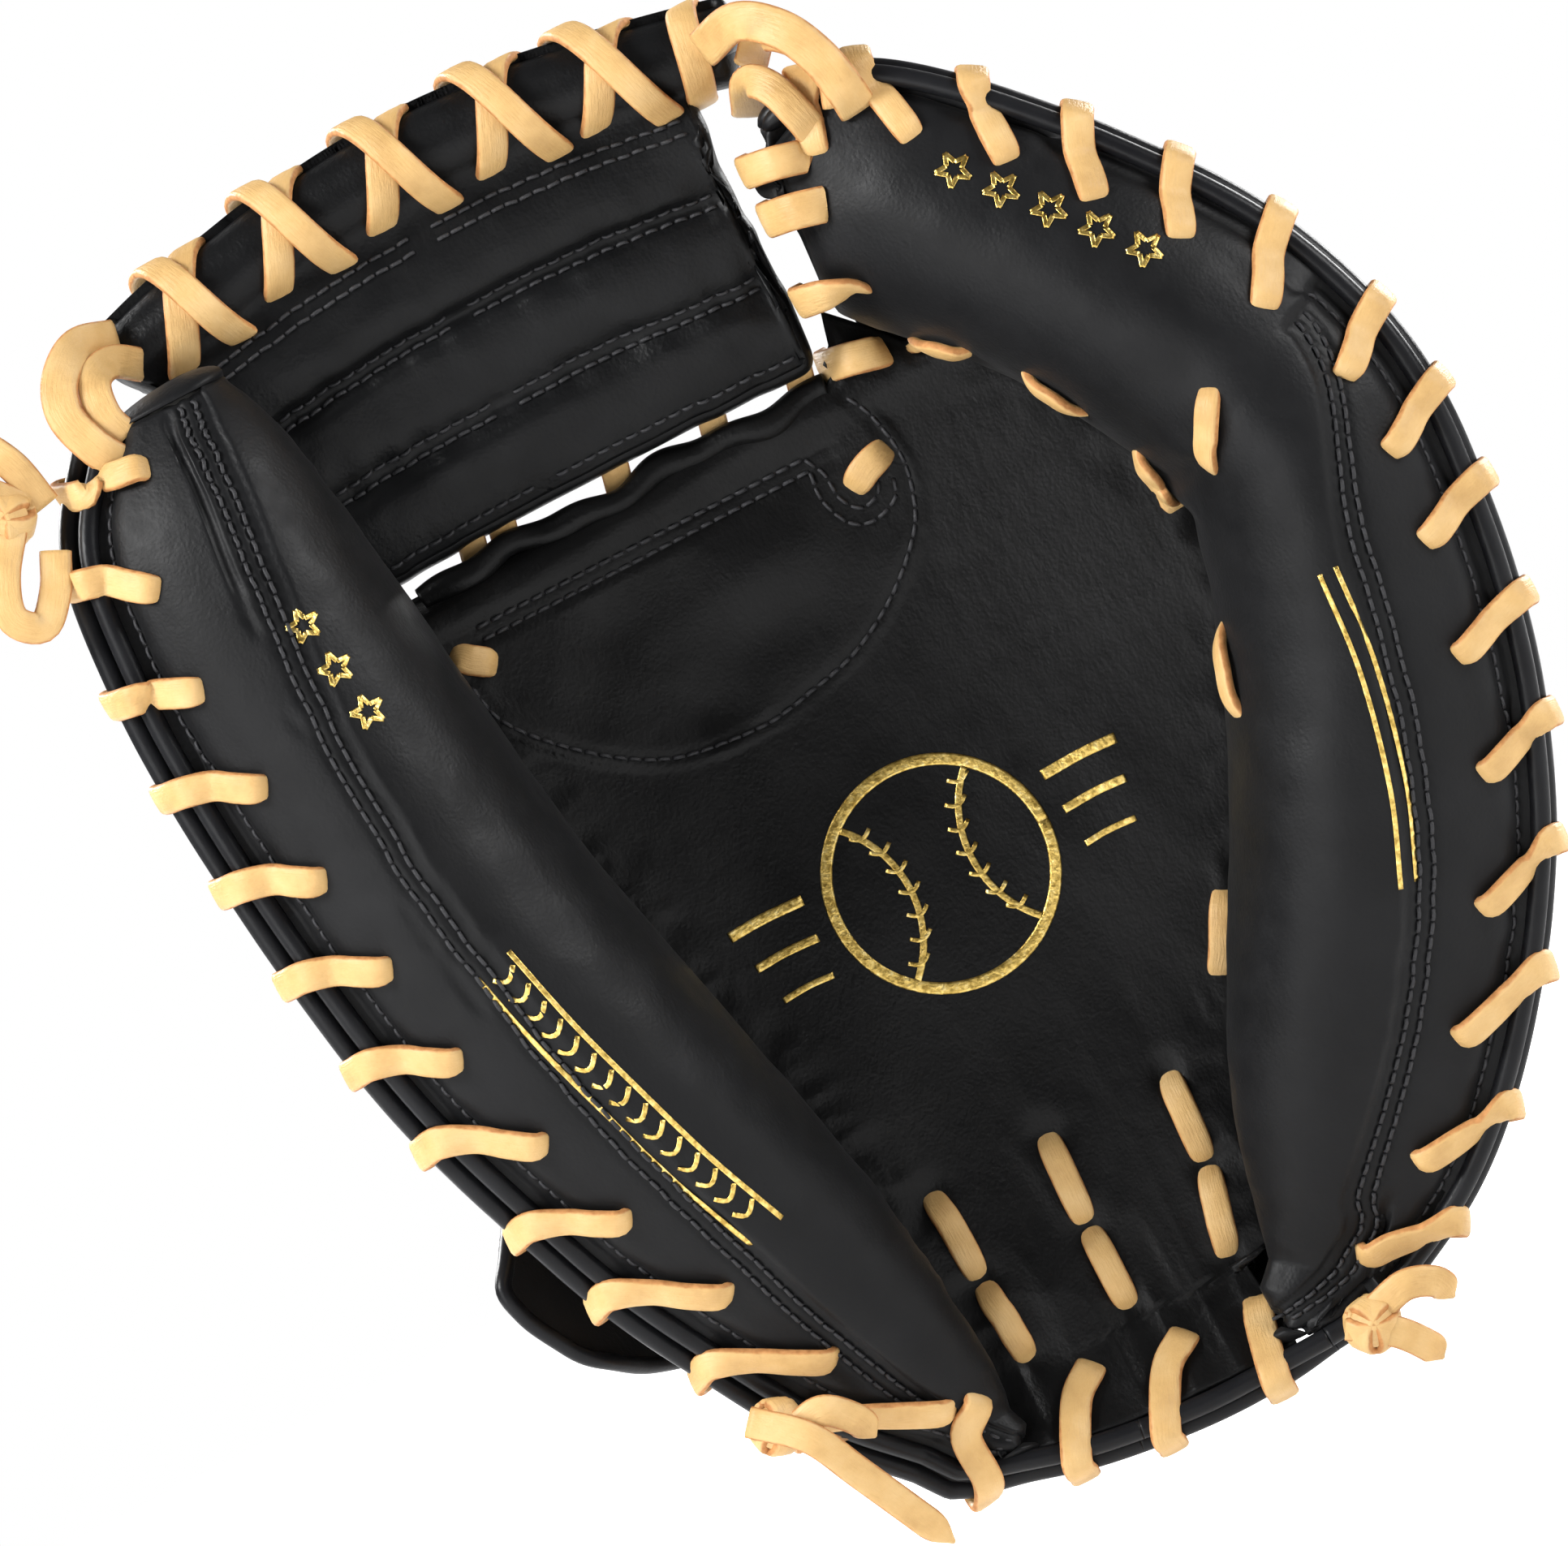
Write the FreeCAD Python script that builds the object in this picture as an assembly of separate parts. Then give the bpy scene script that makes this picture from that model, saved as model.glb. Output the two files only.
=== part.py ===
import FreeCAD, Part
import math
import os

# Baseball catcher's mitt for a left hand, as an assembly of sewn and laced leather pieces.
#
# Frame, in millimetres: +Z runs from the heel up to the web, +X from the thumb side to the finger side, and
# -Y out of the pocket. The origin is the centre of the flat outer face of the hand-back panel, the face the
# mitt lies on. A "height" in this file is the distance in front of that face, so y = -height.

OUT_DIR = "parts"

# ---- driving dimensions ---------------------------------------------------------------------------
LEATHER = 2.0  # shell leather
LINING = 1.2  # lining leather
GAP = 0.4  # clearance between stacked sheets
PAD_GAP = 1.4  # clearance between a roll's leather and its felt
PALM_FELT, HEEL_FELT = 5.0, 4.0
LACE_WIDTH, LACE_THICK = 5.4, 2.0
LACE_LIFT = 1.6  # middle of a lace above the leather it crosses
LACE_SLACK = 1.6  # extra where it bends over the welts
FRONT_WELT_R, BACK_WELT_R = 1.8, 2.0
WELT_GAP = 0.5  # between the front welt and the panel sewn to it
WELT_STEP = 2.0  # half the height between the front and the back welt
SEAM_HALF = 0.012  # half the gap between two sewn panels, as a share of the roll's width

# Palm floor: a shallow bowl.
FLOOR_LOW = 40.0
FLOOR_CENTRE_X = 18.0
FLOOR_RISE_X, FLOOR_SPAN_X = 9.0, 58.0
FLOOR_RISE_Z, FLOOR_SPAN_Z = 5.0, 115.0

# The mitt folds along two straight break lines, given here as (x, z) at the heel and at the web.
THUMB_BREAK = ((-15.0, -108.0), (-46.0, 75.0))
FINGER_BREAK = ((30.0, -108.0), (43.0, 75.0))
BREAK_GAP = 0.6

# Padded rolls. Each row is one station from the web end to the heel: rim x, rim z, lip x, lip z,
# rim height, peak height, foot height, seam share of the way from rim to lip.
THUMB_STATIONS = (
    (-82.0, 116.0, -56.0, 116.0, 76.0, 80.0, 70.0, 0.57),
    (-94.0, 100.0, -49.8, 100.0, 81.0, 90.0, 66.5, 0.61),
    (-97.0, 80.0, -47.0, 80.0, 83.0, 95.0, 60.5, 0.556),
    (-97.5, 60.0, -44.5, 60.0, 84.0, 97.0, 52.0, 0.51),
    (-96.3, 40.0, -42.0, 40.0, 84.0, 98.0, 50.5, 0.474),
    (-94.0, 20.0, -39.0, 20.0, 84.0, 98.0, 49.0, 0.45),
    (-91.0, 0.0, -35.5, 0.0, 83.0, 97.0, 47.8, 0.446),
    (-86.5, -20.0, -30.5, -20.0, 81.0, 94.0, 46.5, 0.432),
    (-79.5, -40.0, -25.5, -40.0, 77.0, 89.0, 45.8, 0.412),
    (-72.0, -60.0, -20.5, -60.0, 71.0, 81.0, 45.5, 0.415),
    (-61.5, -80.0, -17.5, -80.0, 63.0, 71.0, 45.8, 0.397),
    (-50.0, -99.0, -15.5, -99.0, 55.0, 60.0, 46.5, 0.40),
    (-38.0, -111.5, -17.0, -110.0, 50.0, 52.5, 46.5, 0.28),
)
FINGER_STATIONS = (
    (46.0, 110.0, 42.5, 75.0, 70.0, 74.0, 44.0, 0.0),
    (58.0, 114.0, 47.0, 70.0, 73.0, 79.0, 44.0, 0.0),
    (70.5, 109.5, 53.0, 64.0, 76.0, 85.0, 44.5, 0.0),
    (84.0, 97.5, 60.5, 56.0, 79.0, 90.0, 46.0, 0.0),
    (96.5, 84.0, 67.5, 47.0, 81.0, 94.0, 47.5, 0.0),
    (107.5, 70.5, 74.0, 37.0, 83.0, 97.0, 49.0, 0.0),
    (118.5, 54.5, 79.0, 27.0, 84.0, 98.0, 50.5, 0.06),
    (126.5, 34.0, 81.5, 16.0, 85.0, 99.0, 51.0, 0.19),
    (129.3, 17.0, 80.5, 6.0, 85.0, 99.0, 50.5, 0.34),
    (128.5, 0.0, 77.5, -4.0, 84.0, 98.0, 49.5, 0.40),
    (126.0, -20.0, 72.0, -18.0, 83.0, 96.0, 48.0, 0.38),
    (121.0, -40.0, 64.0, -34.0, 80.0, 93.0, 46.5, 0.36),
    (113.0, -60.0, 55.0, -50.0, 76.0, 88.0, 45.0, 0.33),
    (102.0, -79.0, 47.0, -65.0, 70.0, 80.0, 44.5, 0.33),
    (88.0, -97.0, 40.0, -80.0, 63.0, 71.0, 44.5, 0.35),
    (71.0, -113.0, 36.5, -94.0, 56.0, 62.0, 45.0, 0.38),
    (53.0, -122.0, 34.0, -106.0, 50.5, 54.0, 45.5, 0.30),
)
FINGER_SEAM_START = 6.4  # station where the finger roll's outer panel begins
# Section of a roll's front: share of the way from panel edge to lip, how far the height has climbed from
# rim to peak, and how far it has dropped again from peak to foot.
ROLL_PROFILE = (
    (0.00, 0.00, 0.00),
    (0.12, 0.46, 0.00),
    (0.35, 0.88, 0.00),
    (0.62, 1.00, 0.00),
    (0.86, 1.00, 0.17),
    (1.00, 1.00, 0.47),
)
CREASE_T = 1.4  # where the section reaches the crease, in the same share
UNDERCUT = 2.5  # how far the crease lies under the lip
THUMB_PANEL_INSET, FINGER_PANEL_INSET = 7.7, 5.4  # rim silhouette to the panel's sewn edge

# Inner edge of each roll's back panel, as (z, height) down the break line.
THUMB_BACK_EDGE = ((116.0, 65.5), (100.0, 61.5), (80.0, 56.0), (66.0, 50.0), (55.0, 32.0), (42.0, 16.0),
                   (20.0, 7.0), (0.0, 4.5), (-40.0, 4.5), (-70.0, 8.0), (-95.0, 20.0), (-112.0, 34.0))
FINGER_BACK_EDGE = ((80.0, 34.0), (66.0, 29.0), (45.0, 17.0), (20.0, 7.0), (0.0, 4.5), (-40.0, 4.5),
                    (-70.0, 8.0), (-95.0, 20.0), (-112.0, 34.0))
PAD_SHARE = 0.6  # how much of a roll's depth the felt fills; the hand goes behind it
BACK_EDGE_INSET = 3.0  # from the break line, away from the palm
BACK_BELLY = 0.8  # 1 is a quarter ellipse, 0 a straight slope

# Palm and heel.
PALM_TOP_Z = 61.5
CROTCH_ROLL_Z, CROTCH_ROLL_R = 64.6, 2.4
HEEL_RIM = ((-29.0, -116.5), (-20.0, -121.0), (-8.0, -124.0), (8.0, -126.3), (22.0, -126.6), (38.0, -126.2))
HEEL_RIM_HEIGHT = 50.0
HEEL_PANEL_INSET = 6.5
HEEL_TOP_Z = -104.0  # where the palm leather meets the heel apron
HEEL_TOP_X, HEEL_X = (-15.0, 29.0), (-17.0, 31.0)
HEEL_WELT_X = (-24.0, 30.0)
PATCH_HALF_WIDTH, PATCH_LOW_Z, PATCH_ARC = 37.0, 16.0, 26.0
HEEL_LACES = (((-12.0, -69.0), (-10.5, -102.0)), ((10.0, -69.0), (9.0, -102.0)))
HEEL_FINGER_LACE = ((34.5, -69.0), (33.0, -100.0))
WRIST_EDGE_Z, WRIST_EDGE_HEIGHT = -101.0, 22.0

# Back of the hand.
HAND_BACK_X, HAND_BACK_Z = (-30.0, 33.0), (-18.0, 27.0)
HAND_BACK_CORNER = 5.0
CROTCH_BACK_TOP = 34.0

# Web.
WEB_LEFT_X, WEB_RIGHT_X = -66.0, 36.5
WEB_FLARE_Z, WEB_FLARE = 98.0, 0.035  # the right edge flares out above this level
WEB_SEAMS_Z = (67.6, 82.6, 99.2, 113.5)  # at the ends; the middle arches up
WEB_ARCH = (2.4, 5.6)  # rise of the middle at the lower edge, and what is added at the top roll
WEB_CENTRE_X, WEB_HALF_WIDTH = -8.0, 60.0
WEB_LOW, WEB_LEAN, WEB_CUP = 42.5, 12.0, 7.0
WEB_CORE, WEB_PUFF = 2.0, 3.0  # felt inside the web, and how far its bands swell in front
WEB_ROLL_R = 7.0
WEB_ROLL_X = (-71.0, 50.0)
WEB_ROLL_Z, WEB_ROLL_ARCH = 123.8, 7.9
WEB_ROLL_HEIGHT, WEB_ROLL_CUP = 54.0, 2.0

# Wrist strap.
STRAP_BAND_X, STRAP_BAND_Z = (-29.0, 34.0), (-70.0, -24.0)
STRAP_BAND_HEIGHT = 2.6
STRAP_THICK = 2.2
TONGUE_Z, TONGUE_TIP_Z = -47.0, -58.0
TONGUE_HALF, TONGUE_TIP_HALF = 22.0, 9.0
TONGUE_SHARES = (0.93, 0.10)  # where it lies on the thumb's back panel, from hinge to tip
PATCH_REACH = (0.22, 0.80)  # part of the tongue's length that the hook-and-loop patches cover
TONGUE_FLY = 11.0  # how far the tip stands off the thumb
PATCH_THICK = 1.0


# ---- curves ---------------------------------------------------------------------------------------
def curve(knots, rows, t):
    """Smooth curve through rows of numbers at rising knots."""
    last = len(knots) - 1
    i = 0
    while i < last - 1 and t > knots[i + 1]:
        i += 1

    def slope(j, k):
        a, b = max(j - 1, 0), min(j + 1, last)
        return (rows[b][k] - rows[a][k]) / (knots[b] - knots[a])

    span = knots[i + 1] - knots[i]
    s = (t - knots[i]) / span
    out = []
    for k in range(len(rows[0])):
        out.append((2 * s**3 - 3 * s**2 + 1) * rows[i][k] + (s**3 - 2 * s**2 + s) * slope(i, k) * span
                   + (3 * s**2 - 2 * s**3) * rows[i + 1][k] + (s**3 - s**2) * slope(i + 1, k) * span)
    return out


def table(rows, x):
    """Reads a smooth table of (x, value) rows; outside the table the end value holds."""
    rows = sorted(rows)
    x = max(rows[0][0], min(rows[-1][0], x))
    return curve([r[0] for r in rows], [(r[1],) for r in rows], x)[0]


def steps(first, last, count):
    return [first + (last - first) * i / (count - 1) for i in range(count)]


def mix(a, b, share):
    return a + (b - a) * share


def at(x, z, height):
    return FreeCAD.Vector(x, -height, z)


FORWARD, BACKWARD = FreeCAD.Vector(0, -1, 0), FreeCAD.Vector(0, 1, 0)


def break_x(line, z):
    (x0, z0), (x1, z1) = line
    return mix(x0, x1, (z - z0) / (z1 - z0))


def floor_height(x, z):
    across = (x - FLOOR_CENTRE_X) / FLOOR_SPAN_X
    return FLOOR_LOW + FLOOR_RISE_X * across**2 + FLOOR_RISE_Z * (z / FLOOR_SPAN_Z) ** 2


# ---- solids ---------------------------------------------------------------------------------------
def patch(poles):
    """Smooth face steered by a grid of points; its corners and edges start and end on the grid."""
    sizes = len(poles), len(poles[0])
    degrees = [min(3, n - 1) for n in sizes]
    mults = [[d + 1] + [1] * (n - d - 1) + [d + 1] for n, d in zip(sizes, degrees)]
    knots = [[float(k) for k in range(n - d + 1)] for n, d in zip(sizes, degrees)]
    surface = Part.BSplineSurface()
    surface.buildFromPolesMultsKnots(poles, mults[0], mults[1], knots[0], knots[1], False, False, *degrees)
    return surface.toShape()


def sheet(front, back):
    """Closed solid between two grids of points that have the same rows and columns."""
    faces = [patch(front), patch(back), patch([front[0], back[0]]), patch([front[-1], back[-1]])]
    for end in (0, -1):
        faces.append(patch([[row[end] for row in front], [row[end] for row in back]]))
    shell = Part.Shell(faces)
    shell.sewShape()
    return closed(Part.makeSolid(shell))


def closed(solid):
    if not solid.isValid():
        solid.fix(1e-4, 1e-4, 1e-3)
    if solid.Volume < 0:
        solid.reverse()
    return solid


def offset_grid(grid, distance, away):
    """Moves a grid along its own normals, to the side that away points to."""
    rows, cols = len(grid), len(grid[0])

    def normal(i, j):
        along = grid[min(i + 1, rows - 1)][j] - grid[max(i - 1, 0)][j]
        across = grid[i][min(j + 1, cols - 1)] - grid[i][max(j - 1, 0)]
        return along.cross(across).normalize()

    sign = 1.0 if normal(rows // 2, cols // 2).dot(away) > 0 else -1.0
    return [[grid[i][j] + normal(i, j) * (sign * distance) for j in range(cols)] for i in range(rows)]


def layer(grid, start, thick, away=BACKWARD):
    """Sheet that begins at one depth behind a grid and has the given thickness."""
    return sheet(offset_grid(grid, start, away), offset_grid(grid, start + thick, away))


def blend_grid(a, b, extra):
    """Grid part of the way from a to b: well over half way at the rim, only a little way at the crease."""
    last = len(a[0]) - 1
    shares = [PAD_SHARE * (1 - 0.85 * (j / last) ** 3) + extra for j in range(last + 1)]
    return [[p + (q - p) * share for p, q, share in zip(ra, rb, shares)] for ra, rb in zip(a, b)]


def tube(points, radius, sides=8):
    """Round cord along points."""
    reach = radius / (2 / 3 + math.cos(2 * math.pi / sides) / 3)
    rings, last = [], len(points) - 1
    for i, p in enumerate(points):
        along = points[min(i + 1, last)] - points[max(i - 1, 0)]
        side = along.cross(FORWARD).normalize()
        up = side.cross(along).normalize()
        rings.append([p + side * (reach * math.cos(2 * math.pi * k / sides))
                      + up * (reach * math.sin(2 * math.pi * k / sides)) for k in range(sides)])
    surface = Part.BSplineSurface()
    surface.buildFromPolesMultsKnots(rings, [4] + [1] * (last - 3) + [4], [1] * (sides + 1),
                                     [float(k) for k in range(last - 1)], [float(k) for k in range(sides + 1)],
                                     False, True, 3, 3)
    u0, u1, _, _ = surface.bounds()
    caps = [Part.Face(Part.Wire([surface.uIso(u).toShape()])) for u in (u0, u1)]
    shell = Part.Shell([surface.toShape()] + caps)
    shell.sewShape()
    return closed(Part.makeSolid(shell))


def ribbon(points, normals, width=LACE_WIDTH, thick=LACE_THICK):
    """Flat lace along points, with its broad face turned to the normals."""
    top, under = [], []
    last = len(points) - 1
    for i, (p, n) in enumerate(zip(points, normals)):
        along = points[min(i + 1, last)] - points[max(i - 1, 0)]
        side = along.cross(n).normalize()
        lift = side.cross(along).normalize() * (thick / 2)
        if lift.dot(n) < 0:
            lift = -lift
        side = side * (width / 2)
        top.append([p + lift + side, p + lift, p + lift - side])
        under.append([p - lift + side, p - lift, p - lift - side])
    return sheet(top, under)


def knot(centre, radius, along):
    """Tied knot: a short barrel."""
    half = FreeCAD.Vector(along).normalize() * radius
    points = [centre - half, centre - half * 0.5, centre, centre + half * 0.5, centre + half]
    return tube(points, radius * 0.8)


def save(name, solids):
    whole = solids[0] if len(solids) == 1 else Part.Compound(solids)
    bad = [s for s in whole.Solids if not s.isValid() or s.Volume < 1.0]
    if bad or len(whole.Solids) != len(solids):
        print("check", name, len(whole.Solids), "solids,", len(bad), "bad")
    whole.exportStep(os.path.join(OUT_DIR, name + ".step"))


# ---- padded rolls ---------------------------------------------------------------------------------
class Roll:
    """One padded side of the mitt, from its rim to the crease at the palm."""

    def __init__(self, stations, inset, line, outside, edge_rows, edge_z, pad_reach):
        self.rows = stations
        self.inset = inset
        self.line, self.outside = line, outside
        self.edge_rows, self.edge_z, self.pad_reach = edge_rows, edge_z, pad_reach
        self.last = len(stations) - 1

    def station(self, v):
        x, z, lip_x, lip_z, rim, peak, foot, seam = curve(list(range(self.last + 1)), self.rows, v)
        inward = FreeCAD.Vector(lip_x - x, 0, lip_z - z)
        return at(x, z, 0), inward.Length, inward.normalize(), rim, peak, foot, seam

    def rim(self, v):
        point, _, _, height, _, _, _ = self.station(v)
        return point + FORWARD * height

    def outward(self, v):
        """Level direction across the rim, away from the pocket."""
        along = self.rim(min(v + 0.1, self.last)) - self.rim(max(v - 0.1, 0))
        side = FreeCAD.Vector(-along.z, 0, along.x).normalize()
        return side if side.dot(self.station(v)[2]) < 0 else -side

    def reach(self, v):
        """Distance along the section that makes one millimetre square to the rim."""
        return 1.0 / max(-self.outward(v).dot(self.station(v)[2]), 0.6)

    def crease(self, v):
        point, width, inward, _, _, foot, _ = self.station(v)
        return point + inward * (width - UNDERCUT) + FORWARD * foot

    def front(self, v, t):
        """Point on the front: t is 0 at the panel's sewn edge, 1 at the lip and CREASE_T at the crease."""
        point, width, inward, rim, peak, foot, _ = self.station(v)
        edge = self.inset * self.reach(v)
        knots, rows = [], []
        for share, climbed, dropped in ROLL_PROFILE:
            across = point + inward * mix(edge, width, share)
            knots.append(share)
            rows.append((across.x, across.z, mix(rim + WELT_STEP, peak, climbed) - (peak - foot) * dropped))
        low = self.crease(v)
        knots.append(CREASE_T)
        rows.append((low.x, low.z, foot))
        return at(*curve(knots, rows, t))

    def front_grid(self, v_list, first_t, last_t, count):
        return [[self.front(v, t) for t in steps(first_t(v), last_t(v), count)] for v in v_list]

    def seam(self, v):
        _, width, _, _, _, _, share = self.station(v)
        edge = self.inset * self.reach(v)
        return max((share * width - edge) / (width - edge), 0.06)

    def back_edge(self, v):
        z = self.edge_z(v)
        x = break_x(self.line, z) + self.outside * BACK_EDGE_INSET
        return at(x, z, table(self.edge_rows, z))

    def back(self, v, share):
        """Point on the outer face of the back: share is 0 beside the rim and 1 at the inner edge."""
        start = self.rim(v) - self.outward(v) * (2 * BACK_WELT_R + 0.6) + BACKWARD * (WELT_STEP + 0.6)
        end = self.back_edge(v)
        turn = share * math.pi / 2
        level = mix(share, 1 - math.cos(turn), BACK_BELLY)
        deep = mix(share, math.sin(turn), BACK_BELLY)
        x, z = mix(start.x, end.x, level), mix(start.z, end.z, level)
        return FreeCAD.Vector(x, mix(start.y, end.y, deep), z)

    def back_grid(self, v_list, count, first=0.0, last=1.0):
        return [[self.back(v, share) for share in steps(first, last, count)] for v in v_list]

    def welt_point(self, v, number):
        """Centre of the front (0) or back (1) bead of the rim."""
        inset = (self.inset - FRONT_WELT_R - WELT_GAP, BACK_WELT_R)[number]
        return self.rim(v) - self.outward(v) * inset + FORWARD * (WELT_STEP, -WELT_STEP)[number]

    def pad(self, v_list):
        """Felt between the front panels and the stall, and the stall's lining behind it."""
        front = self.front_grid(v_list, lambda v: 0.03, lambda v: 1.1, 9)
        front = offset_grid(front, LEATHER + PAD_GAP, BACKWARD)
        back = offset_grid(self.back_grid(v_list, 9, 0.05, self.pad_reach), LEATHER + PAD_GAP, FORWARD)
        felt = sheet(front, blend_grid(front, back, 0.0))
        front, back = front[1:-4], back[1:-4]
        lining = sheet(blend_grid(front, back, 0.03), blend_grid(front, back, 0.055))
        return felt, lining

    def normal(self, v, t):
        a = self.front(min(v + 0.05, self.last), t) - self.front(max(v - 0.05, 0), t)
        b = self.front(v, min(t + 0.02, CREASE_T)) - self.front(v, max(t - 0.02, 0))
        n = a.cross(b).normalize()
        return n if n.dot(FORWARD) > 0 else -n

    def rim_loop(self, v_hole, v_rim, t_hole):
        """One turn of the rim lace: up from its hole, over both beads and down on to the back."""
        points, normals = [], []
        for share in (0.0, 0.5, 1.0):
            v, t = mix(v_hole, v_rim, share * 0.7), mix(t_hole, 0.02, share)
            n = self.normal(v, t)
            points.append(self.front(v, t) + n * LACE_LIFT)
            normals.append(n)
        out = self.outward(v_rim)
        front_bead, back_bead = self.welt_point(v_rim, 0), self.welt_point(v_rim, 1)
        slant = (FORWARD + out * 0.8).normalize()
        for centre, radius, way in ((front_bead, FRONT_WELT_R, slant), (back_bead, BACK_WELT_R, out),
                                    (back_bead, BACK_WELT_R, (out + BACKWARD * 1.5).normalize())):
            points.append(centre + way * (radius + LACE_LIFT + LACE_SLACK))
            normals.append(way)
        behind = self.back(v_rim, 0.16)
        points.append(behind + out * (LACE_LIFT + LACE_SLACK))
        normals.append((out * 3 + BACKWARD).normalize())
        return ribbon(points, normals)


def thumb_edge_z(v):
    return max(min(THUMB.rim(v).z, 116.0), -112.0)


def finger_edge_z(v):
    return mix(77.0, -112.0, v / FINGER.last)


THUMB = Roll(THUMB_STATIONS, THUMB_PANEL_INSET, THUMB_BREAK, -1, THUMB_BACK_EDGE, thumb_edge_z, 0.75)
FINGER = Roll(FINGER_STATIONS, FINGER_PANEL_INSET, FINGER_BREAK, 1, FINGER_BACK_EDGE, finger_edge_z, 0.4)


def build_roll(roll, name, seam_first, loops, hole_shift):
    v_all = steps(0, roll.last, 2 * roll.last + 1)
    v_seam = [v for v in v_all if v >= seam_first]

    def inner_start(v):
        return roll.seam(v) + SEAM_HALF if v >= seam_first else 0.0

    def outer_end(v):
        return roll.seam(v) - SEAM_HALF

    outer = roll.front_grid(v_seam, lambda v: 0.0, outer_end, 5)
    inner = roll.front_grid(v_all, inner_start, lambda v: CREASE_T, 9)
    felt, lining = roll.pad(v_all)
    save(name + "_outer_panel", [layer(outer, 0, LEATHER)])
    save(name + "_inner_panel", [layer(inner, 0, LEATHER)])
    save(name + "_pad", [felt])
    save(name + "_stall_lining", [lining])
    save(name + "_back_panel", [layer(roll.back_grid(v_all, 9), 0, LEATHER, FORWARD)])
    save(name + "_front_welt", [tube([roll.welt_point(v, 0) for v in v_all], FRONT_WELT_R)])
    save(name + "_back_welt", [tube([roll.welt_point(v, 1) for v in v_all], BACK_WELT_R)])
    save(name + "_rim_lace", [roll.rim_loop(v, v - hole_shift, t) for v, t in loops])


# ---- palm -----------------------------------------------------------------------------------------
def heel_rim(x):
    return table(HEEL_RIM, x)


def crease_at(roll, z):
    """Station of a roll whose crease lies at the given z, found by halving."""
    low, high = 0.0, float(roll.last)
    for _ in range(30):
        middle = (low + high) / 2
        if roll.crease(middle).z > z:
            low = middle
        else:
            high = middle
    return low


def palm_left(z):
    return THUMB.crease(crease_at(THUMB, z)).x


def palm_point(z, share, inset=0.0):
    """Point on the palm leather between the thumb crease and the finger break line."""
    left = palm_left(z) + BREAK_GAP + inset
    right = break_x(FINGER_BREAK, z) - BREAK_GAP - inset
    x = mix(left, right, share)
    return at(x, z, floor_height(x, z))


def palm_grid(low_z, high_z, rows=15, cols=9, inset=0.0):
    return [[palm_point(z, c, inset) for c in steps(0, 1, cols)] for z in steps(high_z, low_z, rows)]


def heel_grid(rows=6, cols=11):
    """Apron of palm leather from the palm down to the heel's welt."""
    grid = []
    for share in steps(0, 1, rows):
        row = []
        for c in steps(0, 1, cols):
            x = mix(mix(HEEL_TOP_X[0], HEEL_TOP_X[1], c), mix(HEEL_X[0], HEEL_X[1], c), share)
            z = mix(HEEL_TOP_Z - 1.0, heel_rim(x) + HEEL_PANEL_INSET, share)
            rise = share**2 * (HEEL_RIM_HEIGHT + WELT_STEP - floor_height(x, z))
            row.append(at(x, z, floor_height(x, z) + rise))
        grid.append(row)
    return grid


def heel_welt_point(x, number):
    inset = (HEEL_PANEL_INSET - FRONT_WELT_R - WELT_GAP, BACK_WELT_R)[number]
    return at(x, heel_rim(x) + inset, HEEL_RIM_HEIGHT + (WELT_STEP, -WELT_STEP)[number])


def floor_lace(start, end):
    """One visible stitch of lace lying along the palm."""
    points = [at(x, z, floor_height(x, z) + LACE_LIFT + 0.2) for x, z in
              zip(steps(start[0], end[0], 6), steps(start[1], end[1], 6))]
    return ribbon(points, [FORWARD] * 6)


def heel_loop(x, reach):
    """Turn of the rim lace over the heel, from its hole in the apron to the back."""
    hole_x = x + reach
    z_hole = heel_rim(hole_x) + 14.0
    points = [at(hole_x, z_hole, floor_height(hole_x, z_hole) + LACE_LIFT + 2.5),
              at(mix(hole_x, x, 0.5), mix(z_hole, heel_rim(x) + 7.0, 0.6), HEEL_RIM_HEIGHT + WELT_STEP + 3.0)]
    front, back = heel_welt_point(x, 0), heel_welt_point(x, 1)
    down = FreeCAD.Vector(0, 0, -1)
    lean = (FORWARD + down * 0.5).normalize()
    tuck = (down + BACKWARD).normalize()
    lift = LACE_LIFT + LACE_SLACK
    points += [front + lean * (FRONT_WELT_R + lift), back + down * (BACK_WELT_R + lift),
               back + tuck * (BACK_WELT_R + lift), at(x, heel_rim(x) + 1.5, HEEL_RIM_HEIGHT - 9.5)]
    return ribbon(points, [FORWARD, FORWARD, lean, down, tuck, (down * 2 + BACKWARD).normalize()])


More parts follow.
